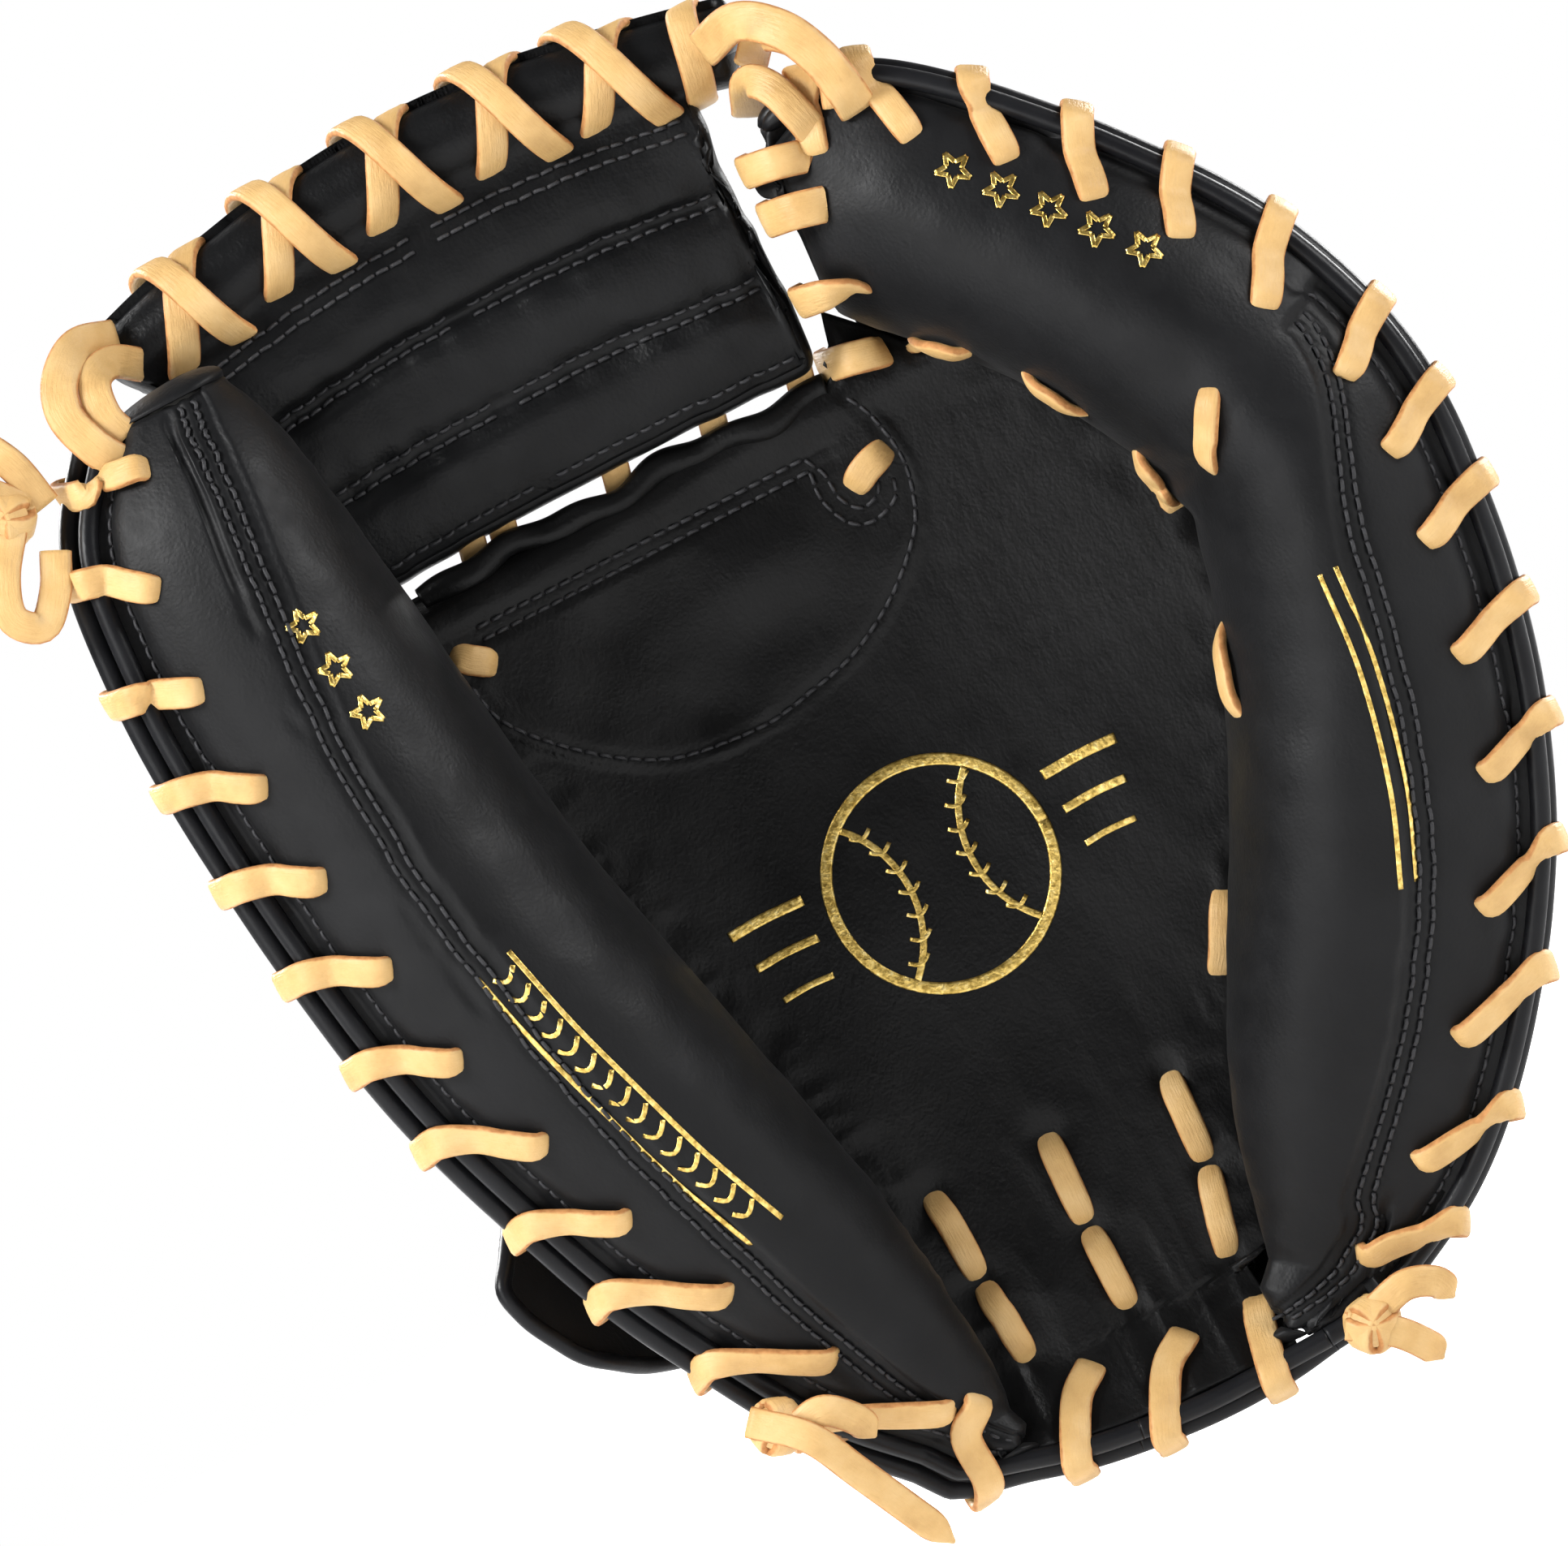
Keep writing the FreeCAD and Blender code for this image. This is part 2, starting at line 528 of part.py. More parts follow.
def build_palm():
    palm = palm_grid(HEEL_TOP_Z, PALM_TOP_Z)
    save("palm_leather", [layer(palm, 0, LEATHER)])
    save("heel_leather", [layer(heel_grid(), 0, LEATHER)])
    low = [[at(x, mix(PATCH_LOW_Z + PATCH_ARC * (x / PATCH_HALF_WIDTH) ** 2, PALM_TOP_Z - 2, share), 0)
            for x in steps(-PATCH_HALF_WIDTH, PATCH_HALF_WIDTH - 3, 9)] for share in steps(0, 1, 6)]
    arch = [[at(p.x, p.z, floor_height(p.x, p.z)) for p in row] for row in low]
    depth = LEATHER + GAP
    save("palm_patch", [layer(arch, depth, LINING)])
    depth += LINING + GAP
    save("palm_pad", [layer(palm_grid(-98.0, PALM_TOP_Z - 4, inset=2.5), depth, PALM_FELT)])
    depth += PALM_FELT + GAP
    save("palm_lining", [layer(palm_grid(-96.0, PALM_TOP_Z - 8, inset=3.5), depth, LINING)])
    save("heel_pad", [layer(palm_grid(-93.0, -70.0, rows=6, inset=6.0), depth + LINING + GAP, HEEL_FELT)])
    save("heel_front_welt", [tube([heel_welt_point(x, 0) for x in steps(*HEEL_WELT_X, 12)], FRONT_WELT_R)])
    save("heel_back_welt", [tube([heel_welt_point(x, 1) for x in steps(*HEEL_WELT_X, 12)], BACK_WELT_R)])
    save("crotch_roll", [tube([at(x, CROTCH_ROLL_Z, floor_height(x, CROTCH_ROLL_Z) - 1.5)
                               for x in steps(-42.0, 35.0, 12)], CROTCH_ROLL_R)])
    save("palm_lace", [floor_lace(*ends) for ends in HEEL_LACES])
    save("heel_rim_lace", [heel_loop(x, 12.0) for x in (-20.0, -7.0, 10.0)])


def build_finger_palm():
    """The palm leather beyond the finger break line, which moves with the fingers."""
    grid = []
    for v in steps(1.0, FINGER.last, 17):
        low = FINGER.crease(v)
        left = break_x(FINGER_BREAK, low.z) + BREAK_GAP
        right = low.x - BREAK_GAP
        grid.append([at(x, low.z, floor_height(x, low.z)) for x in steps(left, right, 7)])
    save("finger_palm_leather", [layer(grid, 0, LEATHER)])
    save("finger_palm_lace", [floor_lace(*HEEL_FINGER_LACE)])


# ---- back of the hand -----------------------------------------------------------------------------
def rounded_plate(x_limits, z_limits, height, thick, corner):
    box = Part.makeBox(x_limits[1] - x_limits[0], thick, z_limits[1] - z_limits[0],
                       at(x_limits[0], z_limits[0], height))
    upright = [e for e in box.Edges if abs(e.BoundBox.YLength - thick) < 1e-6 and e.Length < thick + 1e-6]
    return box.makeFillet(corner, upright)


def build_hand_back():
    save("hand_back_panel", [rounded_plate(HAND_BACK_X, HAND_BACK_Z, LEATHER, LEATHER, HAND_BACK_CORNER)])
    inner_x, inner_z = [(a + 2, b - 2) for a, b in (HAND_BACK_X, HAND_BACK_Z)]
    save("hand_back_lining", [rounded_plate(inner_x, inner_z, LEATHER + GAP + LINING, LINING, 3.0)])
    slope = []
    for share in steps(0, 1, 9):
        z = mix(HAND_BACK_Z[1] + 1.0, PALM_TOP_Z, share)
        slope.append([at(x, z, LEATHER + (CROTCH_BACK_TOP - LEATHER) * share**1.7)
                      for x in steps(mix(-30.0, -38.0, share), 33.0, 7)])
    save("crotch_back_panel", [layer(slope, 0, LEATHER)])
    wrist = []
    for share in steps(0, 1, 6):
        row = []
        for x in steps(-15.0, 28.0, 9):
            z = mix(heel_rim(x) + 3.4, WRIST_EDGE_Z, share)
            drop = mix(HEEL_RIM_HEIGHT - WELT_STEP - BACK_WELT_R - 1.0, WRIST_EDGE_HEIGHT, share**0.6)
            row.append(at(x, z, drop))
        wrist.append(row)
    save("heel_back_panel", [layer(wrist, 0, LEATHER, FORWARD)])
    save("wrist_binding", [tube([at(x, WRIST_EDGE_Z + 3.4, WRIST_EDGE_HEIGHT + 0.5)
                                 for x in steps(-14.0, 27.0, 8)], 1.8)])


# ---- web ------------------------------------------------------------------------------------------
def web_point(x, level):
    """Middle surface of the web. level counts the seams: 0 is the lower edge, 3 the foot of the top roll."""
    end_z = curve([0, 1, 2, 3], [(z,) for z in WEB_SEAMS_Z], level)[0]
    across = (x - WEB_CENTRE_X) / WEB_HALF_WIDTH
    z = end_z + (1 - across**2) * (WEB_ARCH[0] + WEB_ARCH[1] * (level / 3) ** 2)
    up = (z - WEB_SEAMS_Z[0]) / (WEB_ROLL_Z - WEB_SEAMS_Z[0])
    return at(x, z, WEB_LOW + WEB_LEAN * up + WEB_CUP * across**2 * up)


def web_grid(lift, puff=0.0, rows=13, cols=15, margin=0.0):
    """Grid over the web at a lift in front of its middle surface, puffed up between the seams."""
    grid = []
    for level in steps(0, 3, rows):
        z = curve([0, 1, 2, 3], [(z,) for z in WEB_SEAMS_Z], level)[0]
        right = WEB_RIGHT_X + WEB_FLARE * max(z - WEB_FLARE_Z, 0.0) ** 2 - margin
        swell = lift + puff * abs(math.sin(math.pi * level)) ** 0.7
        grid.append([web_point(x, level) + FORWARD * swell for x in steps(WEB_LEFT_X + margin, right, cols)])
    return grid


def web_roll_point(x):
    across = (x - WEB_CENTRE_X) / WEB_HALF_WIDTH
    return at(x, WEB_ROLL_Z + WEB_ROLL_ARCH * (1 - across**2), WEB_ROLL_HEIGHT + WEB_ROLL_CUP * across**2)


def roll_whip(x):
    """One turn of lace round the web's top roll."""
    centre = web_roll_point(x)
    along = web_roll_point(x + 1) - web_roll_point(x - 1)
    start = centre - along.normalize() * (LACE_WIDTH / 2)
    inner = Part.makeCylinder(WEB_ROLL_R + GAP, LACE_WIDTH, start, along)
    return Part.makeCylinder(WEB_ROLL_R + GAP + LACE_THICK, LACE_WIDTH, start, along).cut(inner)


def free_lace(points, normal=FORWARD, width=LACE_WIDTH):
    return ribbon([at(*p) for p in points], [normal] * len(points), width)


def build_web():
    half = WEB_CORE / 2
    save("web_front_panel", [sheet(web_grid(half + GAP + LEATHER, WEB_PUFF), web_grid(half + GAP, WEB_PUFF))])
    save("web_core", [sheet(web_grid(half, WEB_PUFF, margin=3.0), web_grid(-half, margin=3.0))])
    save("web_back_panel", [sheet(web_grid(-half - GAP), web_grid(-half - GAP - LEATHER))])
    save("web_top_roll", [tube([web_roll_point(x) for x in steps(*WEB_ROLL_X, 12)], WEB_ROLL_R)])
    save("web_top_lace", [roll_whip(x) for x in steps(-61.0, 41.0, 8)])
    stitches = []
    for x in (-25.0, -3.0, 16.0):
        height = floor_height(x, CROTCH_ROLL_Z) + CROTCH_ROLL_R + 1.0
        stitches.append(free_lace([(x - 2, 61.5, height), (x, 67, height + 1), (x + 2, 72.5, height + 6.5)]))
    save("crotch_lace", stitches)


# ---- wrist strap ----------------------------------------------------------------------------------
def thumb_station(z):
    low, high = 0.0, float(THUMB.last)
    for _ in range(30):
        middle = (low + high) / 2
        low, high = (middle, high) if THUMB.rim(middle).z > z else (low, middle)
    return low


def tongue_grid(stand_off, first=0.0, last=1.0, trim=0.0, rows=11, cols=7):
    """Surface over the thumb's back, at a distance outside it; towards the tip it stands off further."""
    grid = []
    for s in steps(first, last, rows):
        share = mix(TONGUE_SHARES[0], TONGUE_SHARES[1], s)
        centre = mix(TONGUE_Z, TONGUE_TIP_Z, s)
        half = mix(TONGUE_HALF, TONGUE_TIP_HALF, s**6) - trim
        row = []
        for z in steps(centre + half, centre - half, cols):
            v = thumb_station(z)
            side = THUMB.back(v, share) - THUMB.back(v, share + 0.02)
            out = FreeCAD.Vector(side.y, -side.x, 0).normalize()
            out = out if out.y > 0 else -out
            point = THUMB.back(v, share)
            row.append(FreeCAD.Vector(point.x, point.y, z) + out * (stand_off + TONGUE_FLY * s**4))
        grid.append(row)
    return grid


def build_strap():
    save("strap_band", [rounded_plate(STRAP_BAND_X, STRAP_BAND_Z, STRAP_BAND_HEIGHT, STRAP_THICK, 3.0)])
    near = 0.6
    for name, trim in (("loop_patch", 4.0), ("hook_patch", 5.0)):
        inner, outer = [tongue_grid(near + t, *PATCH_REACH, trim) for t in (0.0, PATCH_THICK)]
        save(name, [sheet(inner, outer)])
        near += PATCH_THICK + GAP
    save("strap_tongue", [sheet(tongue_grid(near), tongue_grid(near + STRAP_THICK))])


# ---- laces that join the web to the two rolls, and the knots ----------------------------------------
def build_ties():
    save("web_thumb_lace", [free_lace([(-79, 113, 86), (-84, 121, 84), (-80, 128, 76), (-73, 127, 71)])])
    save("web_finger_lace", [free_lace([(52, 100, 86), (57, 112, 84), (60, 122, 79), (55, 128, 72)])])
    save("thumb_tip_knot", [knot(at(-101, 106, 86), 4.5, (1, 0, -2)),
                            free_lace([(-104, 99, 88), (-104, 94, 90), (-102, 90, 91)]),
                            free_lace([(-103, 113, 86), (-100, 119, 84), (-95, 124, 82)])])
    save("heel_thumb_knot", [knot(at(-55, -91, 70), 4.0, (1, 0, 0.6)),
                             free_lace([(-50, -96, 72), (-44, -108, 66), (-37, -123, 57)])])
    save("heel_finger_knot", [knot(at(43, -124.0, 62), 4.0, (1, 0, -0.3)),
                              free_lace([(51, -124, 62), (54, -129, 60), (54, -134, 56)])])


def main():
    os.makedirs(OUT_DIR, exist_ok=True)
    build_roll(THUMB, "thumb", 0, [(v, 0.16) for v in steps(0.95, 11.2, 12)], 0.42)
    build_roll(FINGER, "finger", FINGER_SEAM_START, [(v, 0.16) for v in steps(1.2, 15.6, 15)], 0.42)
    build_palm()
    build_finger_palm()
    build_hand_back()
    build_web()
    build_strap()
    build_ties()


main()
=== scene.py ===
import math

import bmesh
import bpy
import numpy as np
from mathutils import Matrix, Vector
from mathutils.bvhtree import BVHTree


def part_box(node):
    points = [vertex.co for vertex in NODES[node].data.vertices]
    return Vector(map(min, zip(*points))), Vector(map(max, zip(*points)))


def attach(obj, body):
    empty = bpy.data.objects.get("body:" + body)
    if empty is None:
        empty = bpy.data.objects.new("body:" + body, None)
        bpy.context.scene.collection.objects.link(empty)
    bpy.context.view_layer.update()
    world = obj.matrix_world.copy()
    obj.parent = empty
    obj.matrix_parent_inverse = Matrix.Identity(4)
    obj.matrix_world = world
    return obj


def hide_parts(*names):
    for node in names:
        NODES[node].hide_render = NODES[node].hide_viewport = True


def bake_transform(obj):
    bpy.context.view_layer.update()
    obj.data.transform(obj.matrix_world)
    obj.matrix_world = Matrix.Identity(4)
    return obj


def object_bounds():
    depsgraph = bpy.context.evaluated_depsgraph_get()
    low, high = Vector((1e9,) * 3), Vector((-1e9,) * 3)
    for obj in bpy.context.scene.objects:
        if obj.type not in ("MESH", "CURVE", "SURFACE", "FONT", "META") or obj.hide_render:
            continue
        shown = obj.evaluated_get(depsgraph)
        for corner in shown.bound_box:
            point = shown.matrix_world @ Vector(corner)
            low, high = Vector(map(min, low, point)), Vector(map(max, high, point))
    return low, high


MM = 0.001
RNG = np.random.default_rng(7)

# Surface detail, in millimetres.
SKIN_SPACING, BACK_SPACING = 0.9, 1.3  # spacing of the roll skins' meshes
SIM_SPACING = 3.2  # spacing of the meshes that the cloth simulation works on
STITCH_PITCH, STITCH_LENGTH, STITCH_R = 2.6, 2.1, 0.3
THUMB_SEAM = (2.2, 4.9, 7.5)  # two stitch rows and the panel's raised edge, inward from the CAD seam
FINGER_SEAM = (3.0, 5.7, 8.6)
RIM_STITCH = 2.6  # from the panel's edge
PANEL_STEP = 0.9  # height of a raised panel edge
BEAD_RADII = (1.8, 2.0)  # front and back piping
LACE_WIDTH, LACE_THICK = 5.6, 2.0
PALM_SIDE, BACK_SIDE = (0, -1, 0), (0, 1, 0)

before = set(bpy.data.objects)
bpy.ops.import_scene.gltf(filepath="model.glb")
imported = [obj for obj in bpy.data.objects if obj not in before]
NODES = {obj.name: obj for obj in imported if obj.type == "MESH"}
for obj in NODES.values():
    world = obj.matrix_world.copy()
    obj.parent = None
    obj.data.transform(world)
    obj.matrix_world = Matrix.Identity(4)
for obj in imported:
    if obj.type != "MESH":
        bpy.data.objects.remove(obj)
REST_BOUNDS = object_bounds()


# ---- small helpers ----
def unit(v):
    v = np.asarray(v, float)
    return v / np.maximum(np.linalg.norm(v, axis=-1, keepdims=True), 1e-12)


def smooth(a, rounds=1, axis=0):
    """Repeated three-point average along one axis; the ends stay."""
    a = np.array(a, float)
    for _ in range(rounds):
        b = np.moveaxis(a, axis, 0)
        b[1:-1] = (b[:-2] + 2 * b[1:-1] + b[2:]) / 4
    return a


def bump(x, centre, width):
    return np.exp(-(((x - centre) / width) ** 2))


def step_up(x, low, high):
    t = np.clip((x - low) / (high - low), 0, 1)
    return t * t * (3 - 2 * t)


def value_noise(points, size, seed=0):
    """Smooth noise between -1 and 1 at points (..., 3) in metres, with cells of the given size in mm."""
    p = np.asarray(points) / (size * MM) + seed * 17.31
    base = np.floor(p).astype(int)
    f = p - base
    f = f * f * (3 - 2 * f)
    out = 0.0
    for corner in range(8):
        d = np.array([(corner >> k) & 1 for k in range(3)])
        q = base + d
        h = (q[..., 0] * 374761393 + q[..., 1] * 668265263 + q[..., 2] * 2147483647) & 0x7FFFFFFF
        h = (h ^ (h >> 13)) * 1274126177 & 0x7FFFFFFF
        w = np.prod(np.where(d == 1, f, 1 - f), axis=-1)
        out = out + w * ((h % 10007) / 5003.5 - 1)
    return out


def level(x, z, height=0.0):
    """Point in metres from millimetres across, up and above the back of the hand."""
    return np.array([x, -height, z]) * MM


def tree_of(objs):
    """One ray-casting tree over several meshes, and the number of the mesh each polygon is from."""
    verts, polys, owner = [], [], []
    for number, obj in enumerate(objs):
        start = len(verts)
        verts += [v.co.copy() for v in obj.data.vertices]
        polys += [[start + i for i in p.vertices] for p in obj.data.polygons]
        owner += [number] * len(obj.data.polygons)
    return BVHTree.FromPolygons(verts, polys), np.array(owner)


def cad(*names):
    return [NODES[name] for name in names]


def piece(name):
    return bpy.data.objects[name]


def node_points(name):
    mesh = NODES[name].data
    co = np.zeros(len(mesh.vertices) * 3)
    mesh.vertices.foreach_get("co", co)
    return co.reshape(-1, 3)


def islands(name):
    """Point sets of the separate solids of a node."""
    mesh = NODES[name].data
    parent = list(range(len(mesh.vertices)))

    def root(i):
        while parent[i] != i:
            parent[i] = parent[parent[i]]
            i = parent[i]
        return i

    co = node_points(name)
    seen = {}
    for i, key in enumerate(map(tuple, np.round(co * 1e6).astype(int))):
        if key in seen:
            parent[root(i)] = root(seen[key])
        seen[key] = i
    for e in mesh.edges:
        parent[root(e.vertices[0])] = root(e.vertices[1])
    groups = {}
    for i in range(len(co)):
        groups.setdefault(root(i), []).append(i)
    return [co[g] for g in groups.values()]


def path_length(path):
    return np.concatenate([[0], np.cumsum(np.linalg.norm(np.diff(path, axis=0), axis=1))])


def columns_at(places, known, values):
    """Every column of values, read at new places between the known ones."""
    return np.stack([np.interp(places, known, column) for column in np.asarray(values, float).T], axis=-1)


def resample(path, count):
    s = path_length(path)
    return columns_at(np.linspace(0, s[-1], count), s, path)


def spline(points, count):
    """Smooth path through a few points, evenly spaced."""
    p = np.asarray(points, float)
    p = np.vstack([2 * p[0] - p[1], p, 2 * p[-1] - p[-2]])
    out = []
    for i in range(1, len(p) - 2):
        a, b, c, d = p[i - 1 : i + 3]
        for t in np.linspace(0, 1, 24, endpoint=False):
            out.append(0.5 * (2 * b + (c - a) * t + (2 * a - 5 * b + 4 * c - d) * t**2
                              + (3 * b - a - 3 * c + d) * t**3))
    return resample(out + [p[-2]], count)


def grid_normals(grid, way, column=slice(None)):
    """Unit normals of a grid of points, on the side that a direction points to."""
    N = unit(np.cross(np.gradient(grid, axis=0), np.gradient(grid, axis=1)))
    return -N if np.mean(N[:, column] @ np.asarray(way, float)) < 0 else N


def noise_vectors(points, size, seed):
    return np.stack([value_noise(points, size, seed + k) for k in range(3)], axis=1)


def pins(*weights):
    """Weights that hold a cloth mesh, with the faint ones dropped."""
    held = np.clip(sum(weights), 0, 1)
    held[held < 0.3] = 0
    return held


# ---- meshes ----
def mesh_object(name, verts, faces, material, uv=None):
    mesh = bpy.data.meshes.new(name)
    mesh.from_pydata([tuple(v) for v in verts], [], [tuple(f) for f in faces])
    mesh.polygons.foreach_set("use_smooth", [True] * len(mesh.polygons))
    if uv is not None:
        layer = mesh.uv_layers.new(name="UVMap")
        loops = np.zeros(len(mesh.loops), int)
        mesh.loops.foreach_get("vertex_index", loops)
        layer.data.foreach_set("uv", np.asarray(uv)[loops].ravel())
    mesh.materials.append(material)
    mesh.update()
    obj = bpy.data.objects.new(name, mesh)
    bpy.context.scene.collection.objects.link(obj)
    return obj


def quads(rows, cols, offset=0, wrap=False):
    i, j = np.meshgrid(np.arange(rows - 1), np.arange(cols if wrap else cols - 1), indexing="ij")
    k = (j + 1) % cols
    q = np.stack([i * cols + j, i * cols + k, (i + 1) * cols + k, (i + 1) * cols + j], axis=-1)
    return q.reshape(-1, 4) + offset


def sheet_object(name, front, thick, material, outward, cut=None):
    """Leather sheet with its outer face on a grid and a thickness. A cut, a slice of columns, makes
    only that part of it, shaded as if the sheet carried on."""
    N = grid_normals(front, outward)
    whole = front.shape[1]
    cut = cut or slice(0, whole)
    front, N = front[:, cut], N[:, cut]
    back = front - N * (thick * MM)
    rows, cols = front.shape[:2]
    n = rows * cols
    verts = np.vstack([front.reshape(-1, 3), back.reshape(-1, 3)])
    a = quads(rows, cols)
    faces = [a[:, ::-1], a + n]
    for line in (np.arange(cols), (rows - 1) * cols + np.arange(cols)[::-1],
                 np.arange(rows)[::-1] * cols, np.arange(rows) * cols + cols - 1):
        faces.append(np.stack([line[:-1], line[1:], line[1:] + n, line[:-1] + n], axis=1))
    du = np.linalg.norm(np.diff(front, axis=0, prepend=front[:1]), axis=2).cumsum(0)
    dv = np.linalg.norm(np.diff(front, axis=1, prepend=front[:, :1]), axis=2).cumsum(1)
    uv = np.stack([dv.ravel(), du.ravel()], axis=1)
    obj = mesh_object(name, verts, np.vstack(faces), material, np.vstack([uv, uv]))
    fix_normals(obj)
    if cols < whole:
        shading = np.zeros((2, rows, cols, 3))
        for line, carries_on in ((0, cut.start > 0), (-1, cut.stop < whole)):
            if carries_on:
                shading[0, 2:-2, line], shading[1, 2:-2, line] = N[2:-2, line], -N[2:-2, line]
        obj.data.normals_split_custom_set_from_vertices(shading.reshape(-1, 3).tolist())
    return obj


def fix_normals(obj):
    bm = bmesh.new()
    bm.from_mesh(obj.data)
    bmesh.ops.recalc_face_normals(bm, faces=bm.faces)
    bm.to_mesh(obj.data)
    bm.free()


def tube(path, side, up, across, lift, uv_across):
    """Rings round a path: across and lift are each ring's offsets in metres along side and up."""
    rings = path[:, None] + side[:, None] * across[..., None] + up[:, None] * lift[..., None]
    uv = np.stack([np.repeat(path_length(path)[:, None], len(uv_across), 1),
                   np.repeat(uv_across[None], len(path), 0)], axis=-1)
    return rings, uv


def ribbon_parts(path, normals, width, thick, sides=14):
    """Rings of a soft-edged flat lace; normals give the way its broad face looks."""
    path, normals = np.asarray(path, float), unit(normals)
    side = unit(np.cross(unit(np.gradient(path, axis=0)), normals))
    up = unit(np.cross(side, unit(np.gradient(path, axis=0))))
    angle = np.linspace(0, 2 * math.pi, sides, endpoint=False) + math.pi / sides
    c, s = np.cos(angle), np.sin(angle)
    across = np.sign(c) * np.abs(c) ** 0.5
    half = np.asarray(width) * MM / 2 * np.ones(len(path))
    return tube(path, side, up, across * half[:, None],
                np.sign(s) * np.abs(s) ** 0.75 * (thick * MM / 2) * np.ones((len(path), 1)),
                across * 0.5 + 0.5)


def cord_parts(path, radius, sides=16):
    path = np.asarray(path, float)
    along = unit(np.gradient(path, axis=0))
    side = unit(np.cross(along, [0, -1, 0.001]))
    angle = np.linspace(0, 2 * math.pi, sides, endpoint=False)
    r = (np.asarray(radius) * MM * np.ones(len(path)))[:, None]
    return tube(path, side, np.cross(side, along), np.cos(angle) * r, np.sin(angle) * r, angle / 6.283)


def merge_rings(name, ring_list, material):
    """One object from several capped ring stacks."""
    verts, faces, uvs, start = [], [], [], 0
    for rings, uv in ring_list:
        n, m = rings.shape[:2]
        verts.append(rings.reshape(-1, 3))
        uvs.append(uv.reshape(-1, 2))
        faces += quads(n, m, start, wrap=True).tolist()
        faces.append(list(range(start + m - 1, start - 1, -1)))
        faces.append(list(range(start + (n - 1) * m, start + n * m)))
        start += n * m
    obj = mesh_object(name, np.vstack(verts), faces, material, np.vstack(uvs))
    fix_normals(obj)
    return obj


def stitch_row(path, normals):
    """Thread stitches along a path that lies on the leather; their ends sink into it."""
    path, normals = np.asarray(path), unit(normals)
    s = path_length(path)
    count = max(int(s[-1] / (STITCH_PITCH * MM)), 1)
    along = np.array([-1, -0.8, -0.3, 0.3, 0.8, 1.0]) * STITCH_LENGTH * MM / 2
    height = np.array([-0.35, 0.1, 0.22, 0.22, 0.1, -0.35])[:, None] * MM
    parts = []
    for k in range(count):
        middle = (k + 0.5) / count * s[-1] + RNG.normal(0, 0.04 * MM)
        n = columns_at(middle, s, normals)
        parts.append(ribbon_parts(columns_at(middle + along, s, path) + n * height, np.repeat(n[None], 6, 0),
                                  2.3 * STITCH_R, 2 * STITCH_R, sides=6))
    return parts


# Fold places that pieces are given: the two bodies, and the start and end of the bend. Nothing here bends
# them.
FINGER_FOLD = ("palm", "fingers", level(22.5, -15.5), level(50.5, -17.5))
THUMB_STRETCH = ("palm", "thumb", level(-4.9, -12.2), level(-33.5, -17.0))
FINGER_STRETCH = ("palm", "fingers", level(12.0, -14.7), level(38.5, -16.6))
WEB_FOLDS = {"left": ("palm", "thumb", level(-34.0, 90.0), level(-64.0, 85.0)),
             "right": ("palm", "fingers", level(16.0, 91.0), level(42.0, 90.0))}
HEEL_FOLD = ("palm", "thumb", level(-6.0, -118.0), level(-22.0, -120.7))
TONGUE_BEND = ("thumb", "tongue", level(-33.0, -47.0), level(-50.0, -50.3))


def finish(obj, place, slot, *nodes):
    """Parents a piece to a body's empty, or, given a fold between two bodies, leaves it in place unparented;
    hides the CAD nodes it stands in for.
    """
    if isinstance(place, str):
        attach(obj, place)
    else:
        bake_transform(obj)
    if nodes:
        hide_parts(*nodes)
    return obj


# ---- materials ----
def nodes_of(name):
    mat = bpy.data.materials.new(name)
    mat.use_nodes = True
    return mat, mat.node_tree, mat.node_tree.nodes["Principled BSDF"]


def node(tree, kind, **inputs):
    n = tree.nodes.new(kind)
    for key, value in inputs.items():
        if key in n.inputs:
            n.inputs[key].default_value = value
        else:
            setattr(n, key, value)
    return n


def coords(tree, stretch=(1, 1, 1)):
    tex = tree.nodes.new("ShaderNodeTexCoord")
    mapping = tree.nodes.new("ShaderNodeMapping")
    mapping.inputs["Scale"].default_value = stretch
    tree.links.new(tex.outputs["Object"], mapping.inputs["Vector"])
    return mapping.outputs["Vector"]


def noise_texture(tree, vector, scale, detail=4.0, rough=0.55):
    n = node(tree, "ShaderNodeTexNoise", Scale=scale, Detail=detail, Roughness=rough)
    tree.links.new(vector, n.inputs["Vector"])
    return n.outputs["Fac"]


def ramp(tree, value, stops):
    r = tree.nodes.new("ShaderNodeValToRGB")
    elements = r.color_ramp.elements
    while len(elements) < len(stops):
        elements.new(0.5)
    for e, (place, colour) in zip(elements, stops):
        e.position, e.color = place, (*colour, 1)
    tree.links.new(value, r.inputs["Fac"])
    return r.outputs["Color"]


def math_node(tree, operation, a, b):
    n = tree.nodes.new("ShaderNodeMath")
    n.operation = operation
    for slot, value in zip(n.inputs, (a, b)):
        if isinstance(value, (int, float)):
            slot.default_value = value
        else:
            tree.links.new(value, slot)
    return n.outputs[0]


def add_bump(tree, bsdf, height, strength, distance):
    b = node(tree, "ShaderNodeBump", Strength=strength, Distance=distance)
    tree.links.new(height, b.inputs["Height"])
    tree.links.new(b.outputs["Normal"], bsdf.inputs["Normal"])


def noise_colour(tree, bsdf, where, scale, detail, stops, socket="Base Color"):
    tree.links.new(ramp(tree, noise_texture(tree, where, scale, detail), stops), bsdf.inputs[socket])


def grey(value):
    return (value, value, value)


